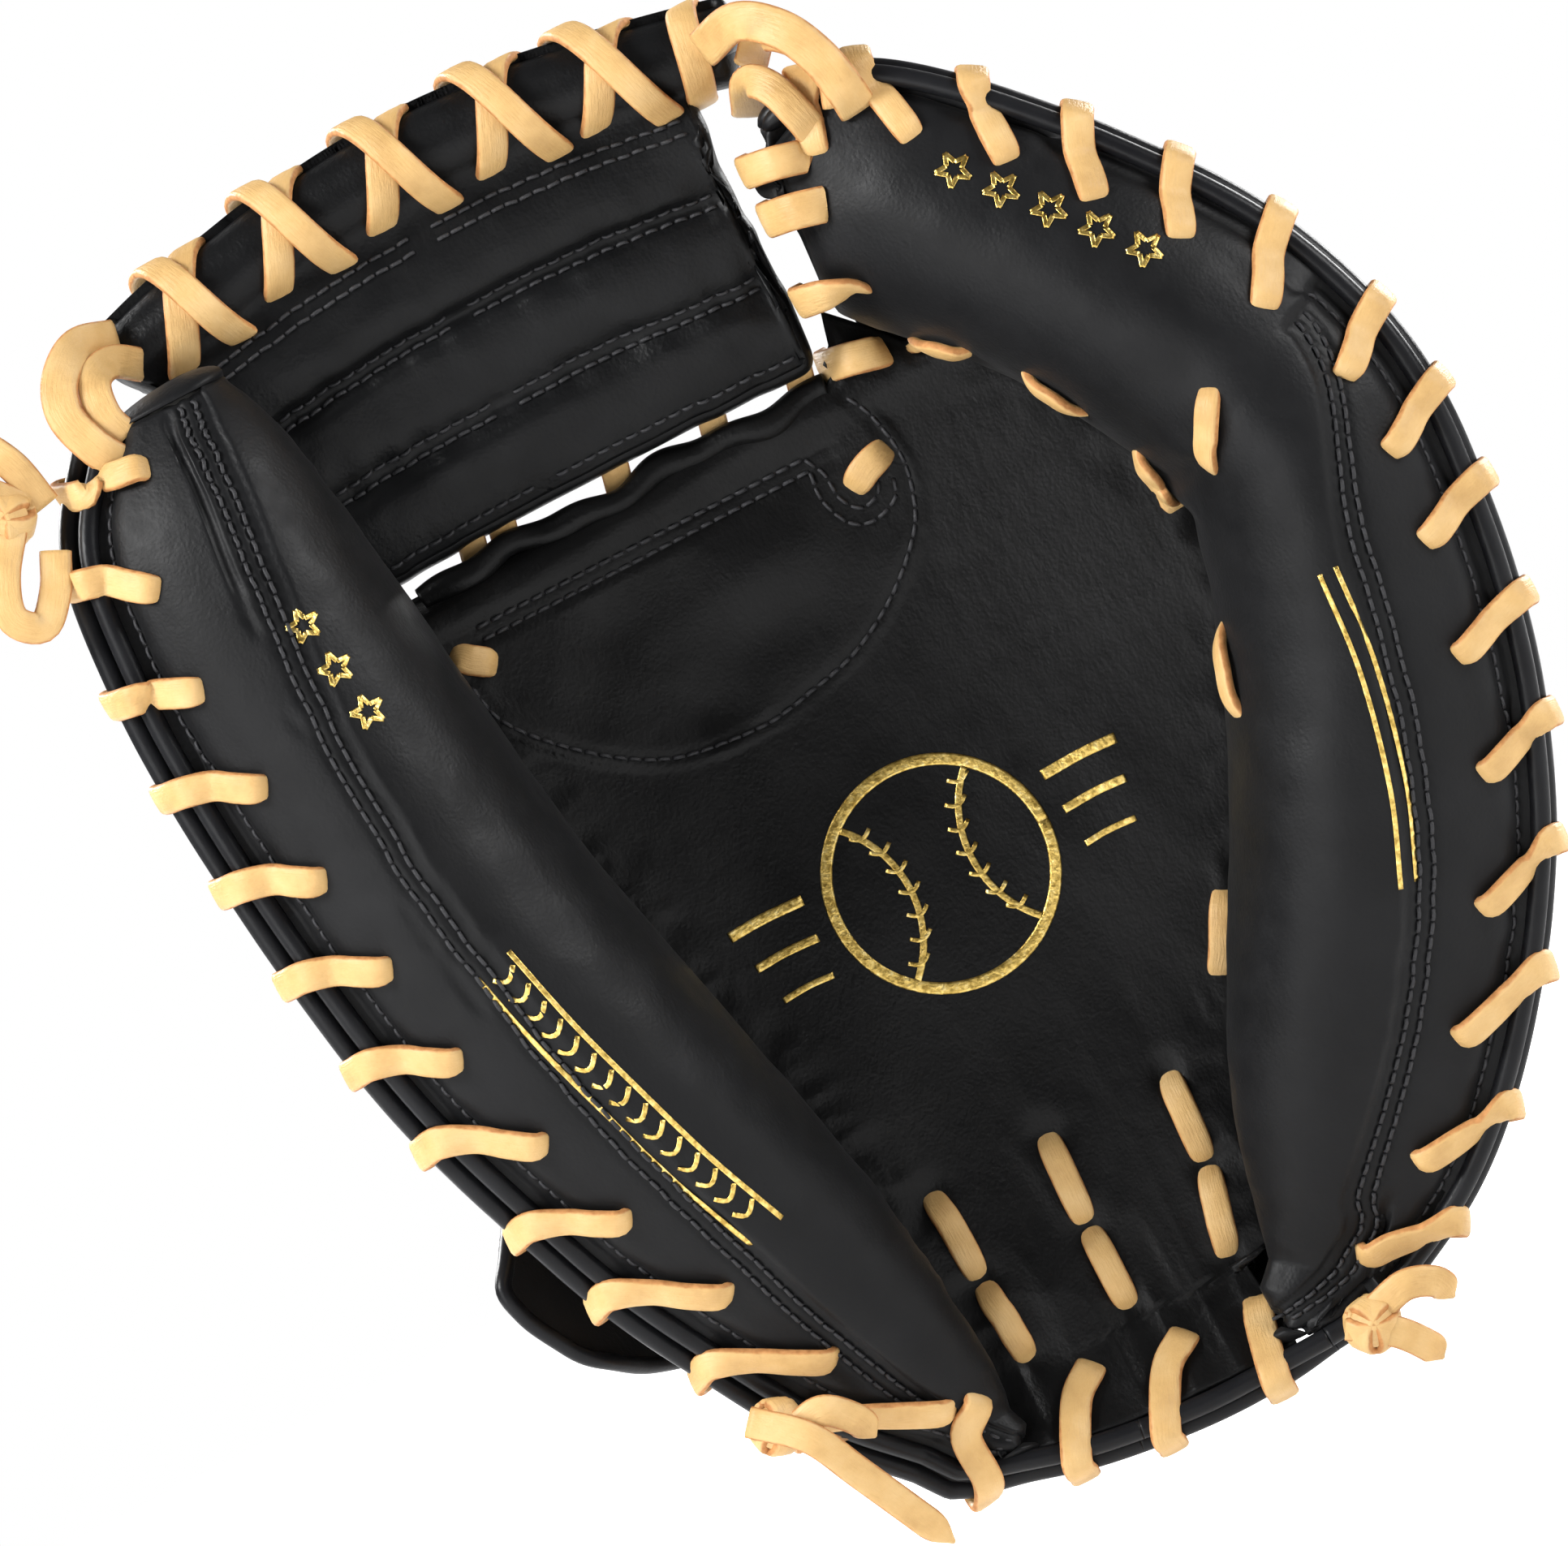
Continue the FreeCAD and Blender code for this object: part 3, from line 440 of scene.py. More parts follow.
def leather(name, dark, light, rough, grain=1.0, crease=1.0, sheen=0.0):
    """Grained leather: pores, soft creases, uneven dye and uneven shine."""
    mat, tree, bsdf = nodes_of(name)
    where = coords(tree)
    noise_colour(tree, bsdf, where, 45, 5, [(0.3, dark), (0.75, light)])
    shine = [(0.3, grey(rough - 0.07)), (0.75, grey(rough + 0.09))]
    noise_colour(tree, bsdf, where, 160, 4, shine, "Roughness")
    pores = node(tree, "ShaderNodeTexVoronoi", Scale=1500.0, feature="SMOOTH_F1")
    tree.links.new(where, pores.inputs["Vector"])
    folds = noise_texture(tree, coords(tree, (1, 1, 0.45)), 420, 6, 0.65)
    height = math_node(tree, "MULTIPLY", pores.outputs["Distance"], 0.55 * grain)
    for layer, weight in ((noise_texture(tree, where, 2600, 2), 0.25 * grain), (folds, 1.2 * crease)):
        height = math_node(tree, "ADD", height, math_node(tree, "MULTIPLY", layer, weight))
    add_bump(tree, bsdf, height, 0.42, 0.00028)
    bsdf.inputs["Specular IOR Level"].default_value = 0.17
    bsdf.inputs["Sheen Weight"].default_value = sheen
    bsdf.inputs["Sheen Roughness"].default_value = 0.5
    return mat


def rawhide():
    """Tan lace: smooth dyed face with fibres along it, rougher orange-brown cut edges."""
    mat, tree, bsdf = nodes_of("rawhide_lace")
    where = coords(tree)
    uv = tree.nodes.new("ShaderNodeUVMap").outputs["UV"]
    split = tree.nodes.new("ShaderNodeSeparateXYZ")
    tree.links.new(uv, split.inputs["Vector"])
    off_centre = math_node(tree, "ABSOLUTE", math_node(tree, "SUBTRACT", split.outputs["Y"], 0.5), 0.0)
    jitter = math_node(tree, "SUBTRACT", noise_texture(tree, where, 500, 3), 0.5)
    ragged = math_node(tree, "ADD", off_centre, math_node(tree, "MULTIPLY", jitter, 0.08))
    face = ramp(tree, noise_texture(tree, where, 130, 5),
                [(0.25, (0.50, 0.30, 0.110)), (0.5, (0.62, 0.39, 0.155)), (0.8, (0.70, 0.48, 0.225))])
    edge = ramp(tree, noise_texture(tree, where, 700, 4),
                [(0.3, (0.36, 0.15, 0.045)), (0.7, (0.58, 0.28, 0.10))])
    mixer = tree.nodes.new("ShaderNodeMix")
    mixer.data_type = "RGBA"
    at_edge = ramp(tree, ragged, [(0.43, grey(0)), (0.475, grey(1))])
    for socket, value in ((0, at_edge), (6, face), (7, edge)):
        tree.links.new(value, mixer.inputs[socket])
    tree.links.new(mixer.outputs[2], bsdf.inputs["Base Color"])
    tree.links.new(ramp(tree, ragged, [(0.45, grey(0.42)), (0.49, grey(0.8))]), bsdf.inputs["Roughness"])
    fibres = node(tree, "ShaderNodeMapping", Scale=(220, 9, 1))
    tree.links.new(uv, fibres.inputs["Vector"])
    fibre_height = math_node(tree, "MULTIPLY", noise_texture(tree, fibres.outputs["Vector"], 1.5, 4), 1.6)
    height = math_node(tree, "ADD", noise_texture(tree, where, 1300, 5), fibre_height)
    add_bump(tree, bsdf, height, 0.45, 0.00025)
    bsdf.inputs["Specular IOR Level"].default_value = 0.3
    return mat


def speckled(name, scale, detail, stops, rough, bump_noise, strength, distance, metallic=0.0):
    """Fine mottled surface: gold foil, hook-and-loop pile or thread."""
    mat, tree, bsdf = nodes_of(name)
    where = coords(tree)
    noise_colour(tree, bsdf, where, scale, detail, stops)
    bsdf.inputs["Metallic"].default_value = metallic
    bsdf.inputs["Roughness"].default_value = rough
    add_bump(tree, bsdf, noise_texture(tree, where, *bump_noise), strength, distance)
    return mat


ROLL_LEATHER = leather("roll_leather", (0.0037, 0.0038, 0.0042), (0.0070, 0.0072, 0.0080), 0.47, 0.6,
                       0.6, 0.03)
PALM_LEATHER = leather("palm_leather", (0.0035, 0.0035, 0.0036), (0.0068, 0.0068, 0.007), 0.37, 0.8, 1.3)
WEB_LEATHER = leather("web_leather", (0.004, 0.0041, 0.0044), (0.0075, 0.0078, 0.0084), 0.4, 0.8, 1.0)
BACK_LEATHER = leather("back_leather", (0.007, 0.007, 0.008), (0.013, 0.013, 0.014), 0.5, 0.9, 0.8, 0.04)
WELT_LEATHER = leather("welt_leather", (0.006, 0.006, 0.007), (0.011, 0.0115, 0.013), 0.36, 0.35, 0.4)
LINING_LEATHER = leather("lining_leather", (0.23, 0.13, 0.065), (0.36, 0.22, 0.12), 0.75, 1.0, 1.0)
FELT = leather("wool_felt", (0.30, 0.29, 0.27), (0.45, 0.44, 0.41), 0.9, 1.5, 0.6)
LACE = rawhide()
FOIL = speckled("gold_foil", 900, 6, [(0.35, (0.42, 0.27, 0.06)), (0.55, (0.85, 0.60, 0.17)),
                                      (0.75, (1.0, 0.82, 0.38))],
                0.32, (1400, 5), 0.5, 0.0003, metallic=1.0)
TAPE = speckled("hook_loop_tape", 2400, 3, [(0.35, (0.012, 0.012, 0.014)), (0.62, (0.05, 0.05, 0.055)),
                                            (0.75, (0.4, 0.4, 0.42))], 0.95, (3000, 2), 1.0, 0.0006)
THREAD = speckled("black_thread", 3000, 2, [(0.3, (0.008, 0.008, 0.009)), (0.7, (0.022, 0.022, 0.026))],
                  0.6, (5000, 2), 0.5, 0.0002)


# ---- padded rolls ----
def bead_path(name, hub, side, count):
    """Centre line of a bead, from the web end to the heel, going round a hub inside it."""
    co = node_points(name)
    order = np.argsort(-np.arctan2(co[:, 2] - hub[1] * MM, side * (co[:, 0] - hub[0] * MM)))
    path = np.array([co[part].mean(axis=0) for part in np.array_split(order, 44)])
    path = resample(smooth(path, 2), 120)
    tree, _ = tree_of(cad(name))
    for _ in range(3):
        along = unit(np.gradient(path, axis=0))
        for k, (p, t) in enumerate(zip(path, along)):
            a = unit(np.cross(t, [0, 1, 0.01]))
            b = np.cross(t, a)
            hits = [tree.ray_cast(Vector(p), Vector(a * math.cos(q) + b * math.sin(q)), 6 * MM)[0]
                    for q in np.linspace(0, 2 * math.pi, 8, endpoint=False)]
            if all(h is not None for h in hits):
                path[k] = np.mean([tuple(h) for h in hits], axis=0)
        path = smooth(path, 1)
    tips = []
    for tip, near, far in ((co[order[0]], path[0], path[1]), (co[order[-1]], path[-1], path[-2])):
        way = unit(near - far)
        tips.append(near + way * max(np.dot(tip - near, way), 0))
    return resample(np.vstack([tips[0], path, tips[1]]), count)


def sweep(tree, owner, centre, inward, degrees, reach=0.16):
    """Outer face of a shell around a centre, seen in the upright plane that holds the inward direction."""
    points, owners = [], []
    for q in np.radians(degrees):
        way = -inward * math.cos(q) + np.array([0, -1, 0]) * math.sin(q)
        hit, normal, index, _ = tree.ray_cast(Vector(centre + way * reach), Vector(-way), reach)
        if hit is not None and np.dot(normal, way) > 0.2:
            points.append(tuple(hit))
            owners.append(owner[index])
    return np.array(points), np.array(owners)


class Roll:
    """Leather of one padded side, read off its CAD panels section by section."""

    def __init__(self, name, body, hub, side, aim, seam, stations, heel):
        self.name, self.body, self.side, self.seam_rows = name, body, side, seam
        self.beads = [bead_path(f"{name}_{face}_welt", hub, side, stations) for face in ("front", "back")]
        self.inward = [unit(aim(rim) * np.array([1, 0, 1])) for rim in self.beads[0]]
        front_tree, front_owner = tree_of(cad(name + "_outer_panel", name + "_inner_panel"))
        back_tree, back_owner = tree_of(cad(name + "_back_panel"))
        fronts, backs, seams = [], [], []
        for rim, inward in zip(self.beads[0], self.inward):
            middle = self.section_centre(rim, inward, front_tree, back_tree)
            line, owners = sweep(front_tree, front_owner, middle, inward, np.arange(-10, 236, 1.25))
            fronts.append(line)
            backs.append(sweep(back_tree, back_owner, middle, inward, np.arange(25, -165, -1.5))[0])
            on_outer = np.nonzero(owners == 0)[0]
            seams.append(path_length(line)[on_outer[-1]] / MM + 1.0 if len(on_outer) else np.nan)
        seams = np.array(seams)
        known = ~np.isnan(seams)
        self.seam = np.where(known, seams, -30.0)
        self.seam[known] = smooth(self.seam[known], 6)
        self.front = self.tidy(fronts, SKIN_SPACING)
        self.back = self.tidy(backs, BACK_SPACING)
        self.lengthen(heel)
        self.length = np.array([path_length(row)[-1] for row in self.front]) / MM

    def section_centre(self, rim, inward, front_tree, back_tree):
        """Point inside the roll that its section is seen from."""
        def drop(tree, x, z, from_y):
            return tree.ray_cast(Vector((x, from_y, z)), Vector((0, -np.sign(from_y), 0)))[0]

        width = 8.0
        for reach in np.arange(8, 72, 2.0):
            probe = rim + inward * reach * MM
            if drop(front_tree, probe[0], probe[2], -0.2) is not None:
                width = reach
        middle = rim + inward * 0.5 * width * MM
        top = drop(front_tree, middle[0], middle[2], -0.2)
        low = drop(back_tree, middle[0], middle[2], 0.1)
        top_y = top[1] if top is not None else rim[1] - 0.008
        low_y = low[1] if low is not None else rim[1] + 0.02
        middle[1] = top_y * 0.55 + low_y * 0.45
        return middle

    def tidy(self, lines, spacing):
        """Grid of evenly spaced points from the section outlines; a missed section copies its neighbour."""
        good = [k for k, line in enumerate(lines) if len(line) > 25]
        count = int(max(path_length(lines[k])[-1] for k in good) / MM / spacing)
        grid = []
        for k, rim in enumerate(self.beads[0]):
            near = min(good, key=lambda g: abs(g - k))
            grid.append(resample(lines[near] + (rim - self.beads[0][near]), count))
        return smooth(smooth(np.array(grid), 5, axis=0), 2, axis=1)

    def lengthen(self, heel):
        """Carries the roll on round the heel. heel lists new rim and crease places as x, z, x, z."""
        last = self.front[-1]
        start = tuple(last[end][axis] / MM for end in (0, -1) for axis in (0, 2))
        track = np.array([start] + list(heel))
        track = resample(track, 9 * len(heel) + 1)[1:]
        for x, z, crease_x, crease_z in track:
            rim = level(x, z) + [0, last[0][1], 0]
            crease = level(crease_x, crease_z) + [0, last[-1][1], 0]
            self.front, self.back = [np.concatenate([grid, [self.carry(grid[-1], last, rim, crease)]])
                                     for grid in (self.front, self.back)]
            last = self.front[-1]
            shift = rim - self.front[-2][0]
            self.beads = [np.vstack([b, b[-1] + shift]) for b in self.beads]
            self.inward.append(unit((crease - rim) * [1, 0, 1]))
            self.seam = np.append(self.seam, self.seam[-1])

    def carry(self, row, last, rim, crease):
        """A section outline moved so that its rim and crease land on new places."""
        old, new = (last[-1] - last[0])[[0, 2]], (crease - rim)[[0, 2]]
        scale = np.linalg.norm(new) / np.linalg.norm(old)
        turn = math.atan2(new[1], new[0]) - math.atan2(old[1], old[0])
        c, s = math.cos(turn) * scale, math.sin(turn) * scale
        d = row - last[0]
        return rim + np.stack([d[:, 0] * c - d[:, 2] * s, d[:, 1] * scale**0.5,
                               d[:, 0] * s + d[:, 2] * c], axis=1)

    def refine(self, grid, spacing):
        """The same surface with rows closer together."""
        rows = int(path_length(grid[:, grid.shape[1] // 2])[-1] / MM / spacing)
        t = np.linspace(0, len(grid) - 1, rows)
        flat = columns_at(t, np.arange(len(grid)), grid.reshape(len(grid), -1))
        return t, flat.reshape(rows, *grid.shape[1:])

    def at(self, u, distance, grid=None):
        """Point and outward normal on a skin at station u and a distance from its rim edge."""
        grid = self.front if grid is None else grid
        u = float(np.clip(u, 0, len(grid) - 1.001))
        width = path_length(grid[int(np.clip(round(u), 0, len(grid) - 1))])[-1] / MM
        j = float(np.clip(distance / width * (grid.shape[1] - 1), 0, grid.shape[1] - 1.001))
        i0, j0 = int(u), int(j)
        a, b = u - i0, j - j0
        cell = grid[i0 : i0 + 2, j0 : j0 + 2]
        low, high = (row[0] * (1 - b) + row[1] * b for row in cell)
        point = low * (1 - a) + high * a
        normal = unit(np.cross(cell[1, 0] - cell[0, 0] + cell[1, 1] - cell[0, 1],
                               cell[0, 1] - cell[0, 0] + cell[1, 1] - cell[1, 0]))
        centre = self.beads[0][i0] + self.inward[i0] * 0.028 + np.array([0, 0.018, 0])
        return point, -normal if np.dot(normal, point - centre) < 0 else normal

    def line(self, distance, first=0.0, last=1.0, lift=0.0, count=400, grid=None):
        """Path along the roll at a distance (a number, or one per station) from the rim edge."""
        grid = self.front if grid is None else grid
        points, normals = [], []
        for u in np.linspace(first, last, count) * (len(grid) - 1):
            d = distance if np.isscalar(distance) else np.interp(u, np.arange(len(distance)), distance)
            p, n = self.at(u, d, grid)
            points.append(p + n * lift * MM)
            normals.append(n)
        return np.array(points), smooth(np.array(normals), 3)


def puff(grid, outward, pinned, cap):
    """How the filling swells a leather grid: the result of a short cloth simulation, capped."""
    kept = []
    for axis, count in enumerate(grid.shape[:2]):
        step = int(SIM_SPACING * MM / np.median(np.linalg.norm(np.diff(grid, axis=axis), axis=2)))
        kept.append(np.unique(np.append(np.arange(0, count, max(step, 1)), count - 1)))
    coarse = grid[np.ix_(*kept)]
    normals = grid_normals(coarse, outward)
    faces = quads(*coarse.shape[:2])
    probe = np.cross(coarse[1, 0] - coarse[0, 0], coarse[0, 1] - coarse[0, 0])
    faces = faces[:, ::-1] if np.dot(probe, normals[0, 0]) > 0 else faces
    obj = mesh_object("cloth_run", coarse.reshape(-1, 3) * 10, faces, PALM_LEATHER)
    pin = obj.vertex_groups.new(name="pin")
    for k, weight in enumerate(pinned[np.ix_(*kept)].ravel()):
        if weight > 0:
            pin.add([k], float(weight), "REPLACE")
    s = obj.modifiers.new("Cloth", "CLOTH").settings
    s.quality, s.mass = 6, 0.3
    s.tension_stiffness = s.compression_stiffness = 18
    s.shear_stiffness, s.bending_stiffness = 8, 3
    s.use_pressure, s.uniform_pressure_force = True, 4
    s.vertex_group_mass = "pin"
    s.effector_weights.gravity = 0
    for number in range(1, 21):
        bpy.context.scene.frame_set(number)
    done = obj.evaluated_get(bpy.context.evaluated_depsgraph_get())
    co = np.zeros(len(done.data.vertices) * 3)
    done.data.vertices.foreach_get("co", co)
    bpy.data.objects.remove(obj)
    swell = np.sum((co.reshape(coarse.shape) / 10 - coarse) / MM * normals, axis=2)
    swell = swell / max(float(np.abs(swell).max()), 1e-6) * cap
    rows = columns_at(np.arange(grid.shape[1]), kept[1], swell.T).T
    fine = columns_at(np.arange(grid.shape[0]), kept[0], rows)
    return smooth(smooth(fine, 3, 0), 3, 1)


def tuck(roll, u, skin, number):
    """Adds the strip of leather that runs from a skin's rim edge in under its bead."""
    bead = columns_at(u, np.arange(len(roll.beads[number])), roll.beads[number])
    inward = np.array([roll.inward[int(min(k, len(roll.inward) - 1))] for k in u])
    end = bead + inward * 0.4 * MM
    strip = [end + (skin[:, 0] - end) * t for t in (0, 0.3, 0.6, 0.85)]
    return np.concatenate([np.stack(strip, axis=1), skin], axis=1)


def raised_panel(roll, d, seam, there):
    """Height of the raised inner panel, which ends beside the two stitch rows."""
    edge = roll.seam_rows[2]
    if roll.side < 0:  # the thumb's middle panel lies over its outer one, past both stitch rows
        return PANEL_STEP * step_up(d, seam + edge - 0.5, seam + edge + 0.3)
    raised = PANEL_STEP * step_up(d, seam + edge - 0.3, seam + edge + 0.5) * there
    return np.where(seam < 0, PANEL_STEP, raised)


def roll_front(roll):
    """Front skin with its raised inner panel, sunk stitch lines, swelling and creases."""
    u, grid = roll.refine(roll.front, SKIN_SPACING)
    N = grid_normals(grid, PALM_SIDE, grid.shape[1] // 4)
    length = np.interp(u, np.arange(len(roll.length)), roll.length)[:, None]
    d = length * np.linspace(0, 1, grid.shape[1])[None]
    seam = np.interp(u, np.arange(len(roll.seam)), roll.seam)[:, None]
    there = step_up(seam, 1.0, 5.0)
    lift = raised_panel(roll, d, seam, there) - PANEL_STEP
    for row in roll.seam_rows[:2]:
        lift = lift - 0.45 * bump(d, seam + row, 0.7) * there
    lift = lift - 0.35 * bump(d, RIM_STITCH, 0.8) + 0.5 * bump(d, (RIM_STITCH + 3), 3.0)
    pinned = pins(bump(d, 0, 3), bump(d, length, 6), bump(d, seam + 3.8, 3.2) * there)
    pinned[:3] = pinned[-3:] = 1
    lift = lift + puff(grid, PALM_SIDE, pinned, 1.3)
    edge = roll.seam_rows[2]
    inner = step_up(d, seam + edge, seam + edge + 12)
    lift = lift + 0.55 * value_noise(grid * [1, 1, 0.6], 21, 1) * inner
    lift = lift + 0.2 * value_noise(grid, 7, 2) * inner
    pucker = value_noise(grid, 5, 3) * (bump(d, seam + 1, 3.0) + bump(d, RIM_STITCH + 1, 2.0))
    fold = np.clip(1 - np.abs(d - length + 9) / 9, 0, 1) * np.abs(value_noise(grid * [1, 1, 1.6], 9, 4))
    lift = lift + 0.12 * pucker - 0.6 * fold
    skin = tuck(roll, u, grid + N * (lift * MM)[..., None], 0)
    finish(sheet_object(roll.name + "_front_skin", skin, 1.4, ROLL_LEATHER, PALM_SIDE), roll.body,
           "shell_leather", roll.name + "_outer_panel", roll.name + "_inner_panel")


def clear_of(points, normals, name, reach=6.0, spare=0.6):
    """Extra lift in millimetres that keeps a skin outside the layer that lies under it."""
    tree, _ = tree_of(cad(name))
    need = np.zeros(points.shape[:2])
    for i, j in np.ndindex(need.shape):
        hit, _, _, distance = tree.ray_cast(Vector(points[i, j]), Vector(normals[i, j]), reach * MM)
        need[i, j] = 0 if hit is None else distance / MM + spare
    for _ in range(20):
        need = np.maximum(need, smooth(smooth(need, 1, 0), 1, 1))
    return need


def roll_back(roll):
    u, grid = roll.refine(roll.back, BACK_SPACING)
    N = grid_normals(grid, BACK_SIDE, grid.shape[1] * 3 // 4)
    width = path_length(grid[len(grid) // 2])[-1] / MM
    d = np.linspace(0, width, grid.shape[1])[None] * np.ones((len(grid), 1))
    pinned = pins(bump(d, 0, 4), bump(d, width, 5))
    pinned[:3] = pinned[-3:] = 1
    lift = puff(grid, (roll.side, 0.5, 0), pinned, 1.6)
    lift = lift + 0.5 * value_noise(grid * [1, 1, 0.5], 26, 5) + 0.16 * value_noise(grid, 9, 6)
    lift = lift - 0.4 * bump(d, 3.0, 0.9) - 0.4 * bump(d, width - 4, 0.9) - 0.4
    skin = grid + N * (lift * MM)[..., None]
    skin = skin + N * (clear_of(skin, N, roll.name + "_stall_lining") * MM)[..., None]
    skin = tuck(roll, u, skin, 1)
    finish(sheet_object(roll.name + "_back_skin", skin, 1.4, BACK_LEATHER, (roll.side, 0.6, 0)),
           roll.body, "shell_leather", roll.name + "_back_panel")


def roll_cap(roll, end, row, before):
    """Rounded leather end of a roll, bulging along its front bead."""
    way = unit(roll.beads[0][row] - roll.beads[0][before])
    ring = np.vstack([roll.front[row], roll.back[row][::-1]])
    ring = resample(np.vstack([ring, ring[:1]]), 181)[:-1]
    centre = ring.mean(axis=0)
    rings = np.array([centre + (ring - centre) * (math.cos(q) * 0.985 + 0.002) + way * math.sin(q) * 5 * MM
                      for q in np.linspace(0, math.pi / 2, 10)])
    obj = merge_rings(f"{roll.name}_{end}_end", [(rings, rings[..., ::2])], ROLL_LEATHER)
    finish(obj, roll.body, "shell_leather")


def roll_beads(roll):
    for path, radius, face in zip(roll.beads, BEAD_RADII, ("front", "back")):
        path = path + noise_vectors(path, 14, 8) * 0.15 * MM
        from_end = np.clip(path_length(path) / (4 * MM), 0, 1)
        radius = radius * np.sqrt(np.clip(1 - (1 - from_end) ** 2, 0.03, 1))
        obj = merge_rings(f"{roll.name}_{face}_bead", [cord_parts(path, radius)], WELT_LEATHER)
        finish(obj, roll.body, "welt_leather", f"{roll.name}_{face}_welt")


def roll_stitches(roll):
    first = np.nonzero(roll.seam > 1.0)[0][0] / (len(roll.seam) - 1)
    parts = []
    for row in roll.seam_rows[:2]:
        parts += stitch_row(*roll.line(roll.seam + row, first + 0.004, 0.99, -PANEL_STEP - 0.1))
    parts += stitch_row(*roll.line(RIM_STITCH, 0.01, 0.99, -PANEL_STEP - 0.1))
    parts += stitch_row(*roll.line(4.0, 0.01, 0.99, -0.6, grid=roll.back))
    finish(merge_rings(roll.name + "_stitches", parts, THREAD), roll.body, "welt_leather")


def finger_aim(p):
    return level(25, -8 + 0.75 * min(p[2] / MM, 0)) - p


# How each roll's leather carries on round the heel: rim x, z and crease x, z.
THUMB_HEEL = ((-27.0, -112.8, -17.3, -111.5), (-23.0, -114.6, -18.5, -114.0))
FINGER_HEEL = ((43.5, -118.6, 32.0, -110.0), (39.0, -119.4, 31.5, -113.5), (34.5, -119.8, 31.2, -117.0))
THUMB = Roll("thumb", "thumb", (60, 0), -1, lambda p: np.array([1.0, 0, 0]), THUMB_SEAM, 260, THUMB_HEEL)
FINGER = Roll("finger", "fingers", (25, -8), 1, finger_aim, FINGER_SEAM, 360, FINGER_HEEL)
for side_roll in (THUMB, FINGER):
    roll_front(side_roll)
    roll_back(side_roll)
    roll_beads(side_roll)
    roll_stitches(side_roll)
    roll_cap(side_roll, "web", 0, 4)
    roll_cap(side_roll, "heel", -1, -5)


# ---- finding places on finished pieces ----
class Facing:
    """Casts rays along Y on to finished meshes, from the palm side or from the back."""

    def __init__(self, objs, from_back=False):
        self.tree, _ = tree_of(objs)
        self.sign = -1 if from_back else 1

    def at(self, x, z):
        """Point and outward normal at x, z in millimetres, or None."""
        start = Vector((x * MM, -0.25 * self.sign, z * MM))
        hit, normal, _, _ = self.tree.ray_cast(start, Vector((0, self.sign, 0)))
        if hit is None:
            return None
        n = np.array(normal)
        return np.array(hit), n if n[1] * self.sign < 0 else -n

    def place(self, x, z, height=50):
        """Like at, but beside the surface it gives the nearest point of it."""
        found = self.at(x, z)
        if found is None:
            hit = self.tree.find_nearest(Vector((x * MM, -height * MM, z * MM)))[0]
            found = np.array(hit), np.array([0, -1.0, 0])
        return found

    def path(self, points, count=60, lift=0.0):
        """A smooth path through x, z points, laid on the surface."""
        found = [f for f in (self.at(x, z) for x, z in spline(points, count)) if f is not None]
        P, N = np.array([f[0] for f in found]), smooth(np.array([f[1] for f in found]), 4)
        return smooth(P, 2) + unit(N) * lift * MM, unit(N)


def heights(names, X, Z, from_back=False, rounds=3):
    """Points on CAD nodes over a grid of x and z; places the nodes miss are filled from their row."""
    probe = Facing(cad(*names), from_back)
    Y = np.full(X.shape, np.nan)
    for place in np.ndindex(Y.shape):
        hit = probe.at(X[place], Z[place])
        if hit is not None:
            Y[place] = hit[0][1]
    for x, y in zip(X, Y):
        known = ~np.isnan(y)
        if known.any():
            y[:] = np.interp(x, x[known], y[known])
    rows = np.nonzero(~np.isnan(Y[:, 0]))[0]
    Y = columns_at(np.arange(len(Y)), rows, Y[rows])
    Y = smooth(smooth(Y, rounds, 0), rounds, 1)
    return np.stack([X * MM, Y, Z * MM], axis=-1)


def border(grid, axis):
    """x (0) or y (1) of a roll's inner border as a function of z in millimetres; x is in millimetres."""
    line = grid[:, -1] / MM
    order = np.argsort(line[:, 2])
    scale = MM if axis == 1 else 1
    return lambda z: np.interp(z, line[order, 2], line[order, axis]) * scale


# ---- palm ----
PATCH_EDGE = ((-44, 46), (-42, 38), (-35, 29.5), (-25, 21.5), (-15, 17), (0, 15.5), (10, 17), (20, 19.5),
              (30, 25), (38, 32), (42, 38), (44, 47), (42.5, 56), (40, 61))
CROTCH_TOP, CROTCH_ROWS = 64.5, (55.0, 52.6)
APRON_TOP = -104.0  # below it the palm leather narrows to the heel's apron
HEEL_LACES = (((-12.3, -68.5), (-11.5, -86.0), (-10.5, -102)), ((10.2, -68.7), (9.3, -86.0), (9.3, -102)),
              ((34, -69), (32.7, -86.0), (28.5, -102)))


def inside_distance(X, Z, outline):
    """Distance in millimetres to an open outline, positive on its upper side."""
    line = spline(outline, 160)
    d = np.sqrt((X[..., None] - line[:, 0]) ** 2 + (Z[..., None] - line[:, 1]) ** 2)
    near = d.argmin(axis=-1)
    beyond = np.hypot(X, Z - 60) - np.hypot(line[near, 0], line[near, 1] - 60)
    return -np.sign(beyond) * d.min(axis=-1)


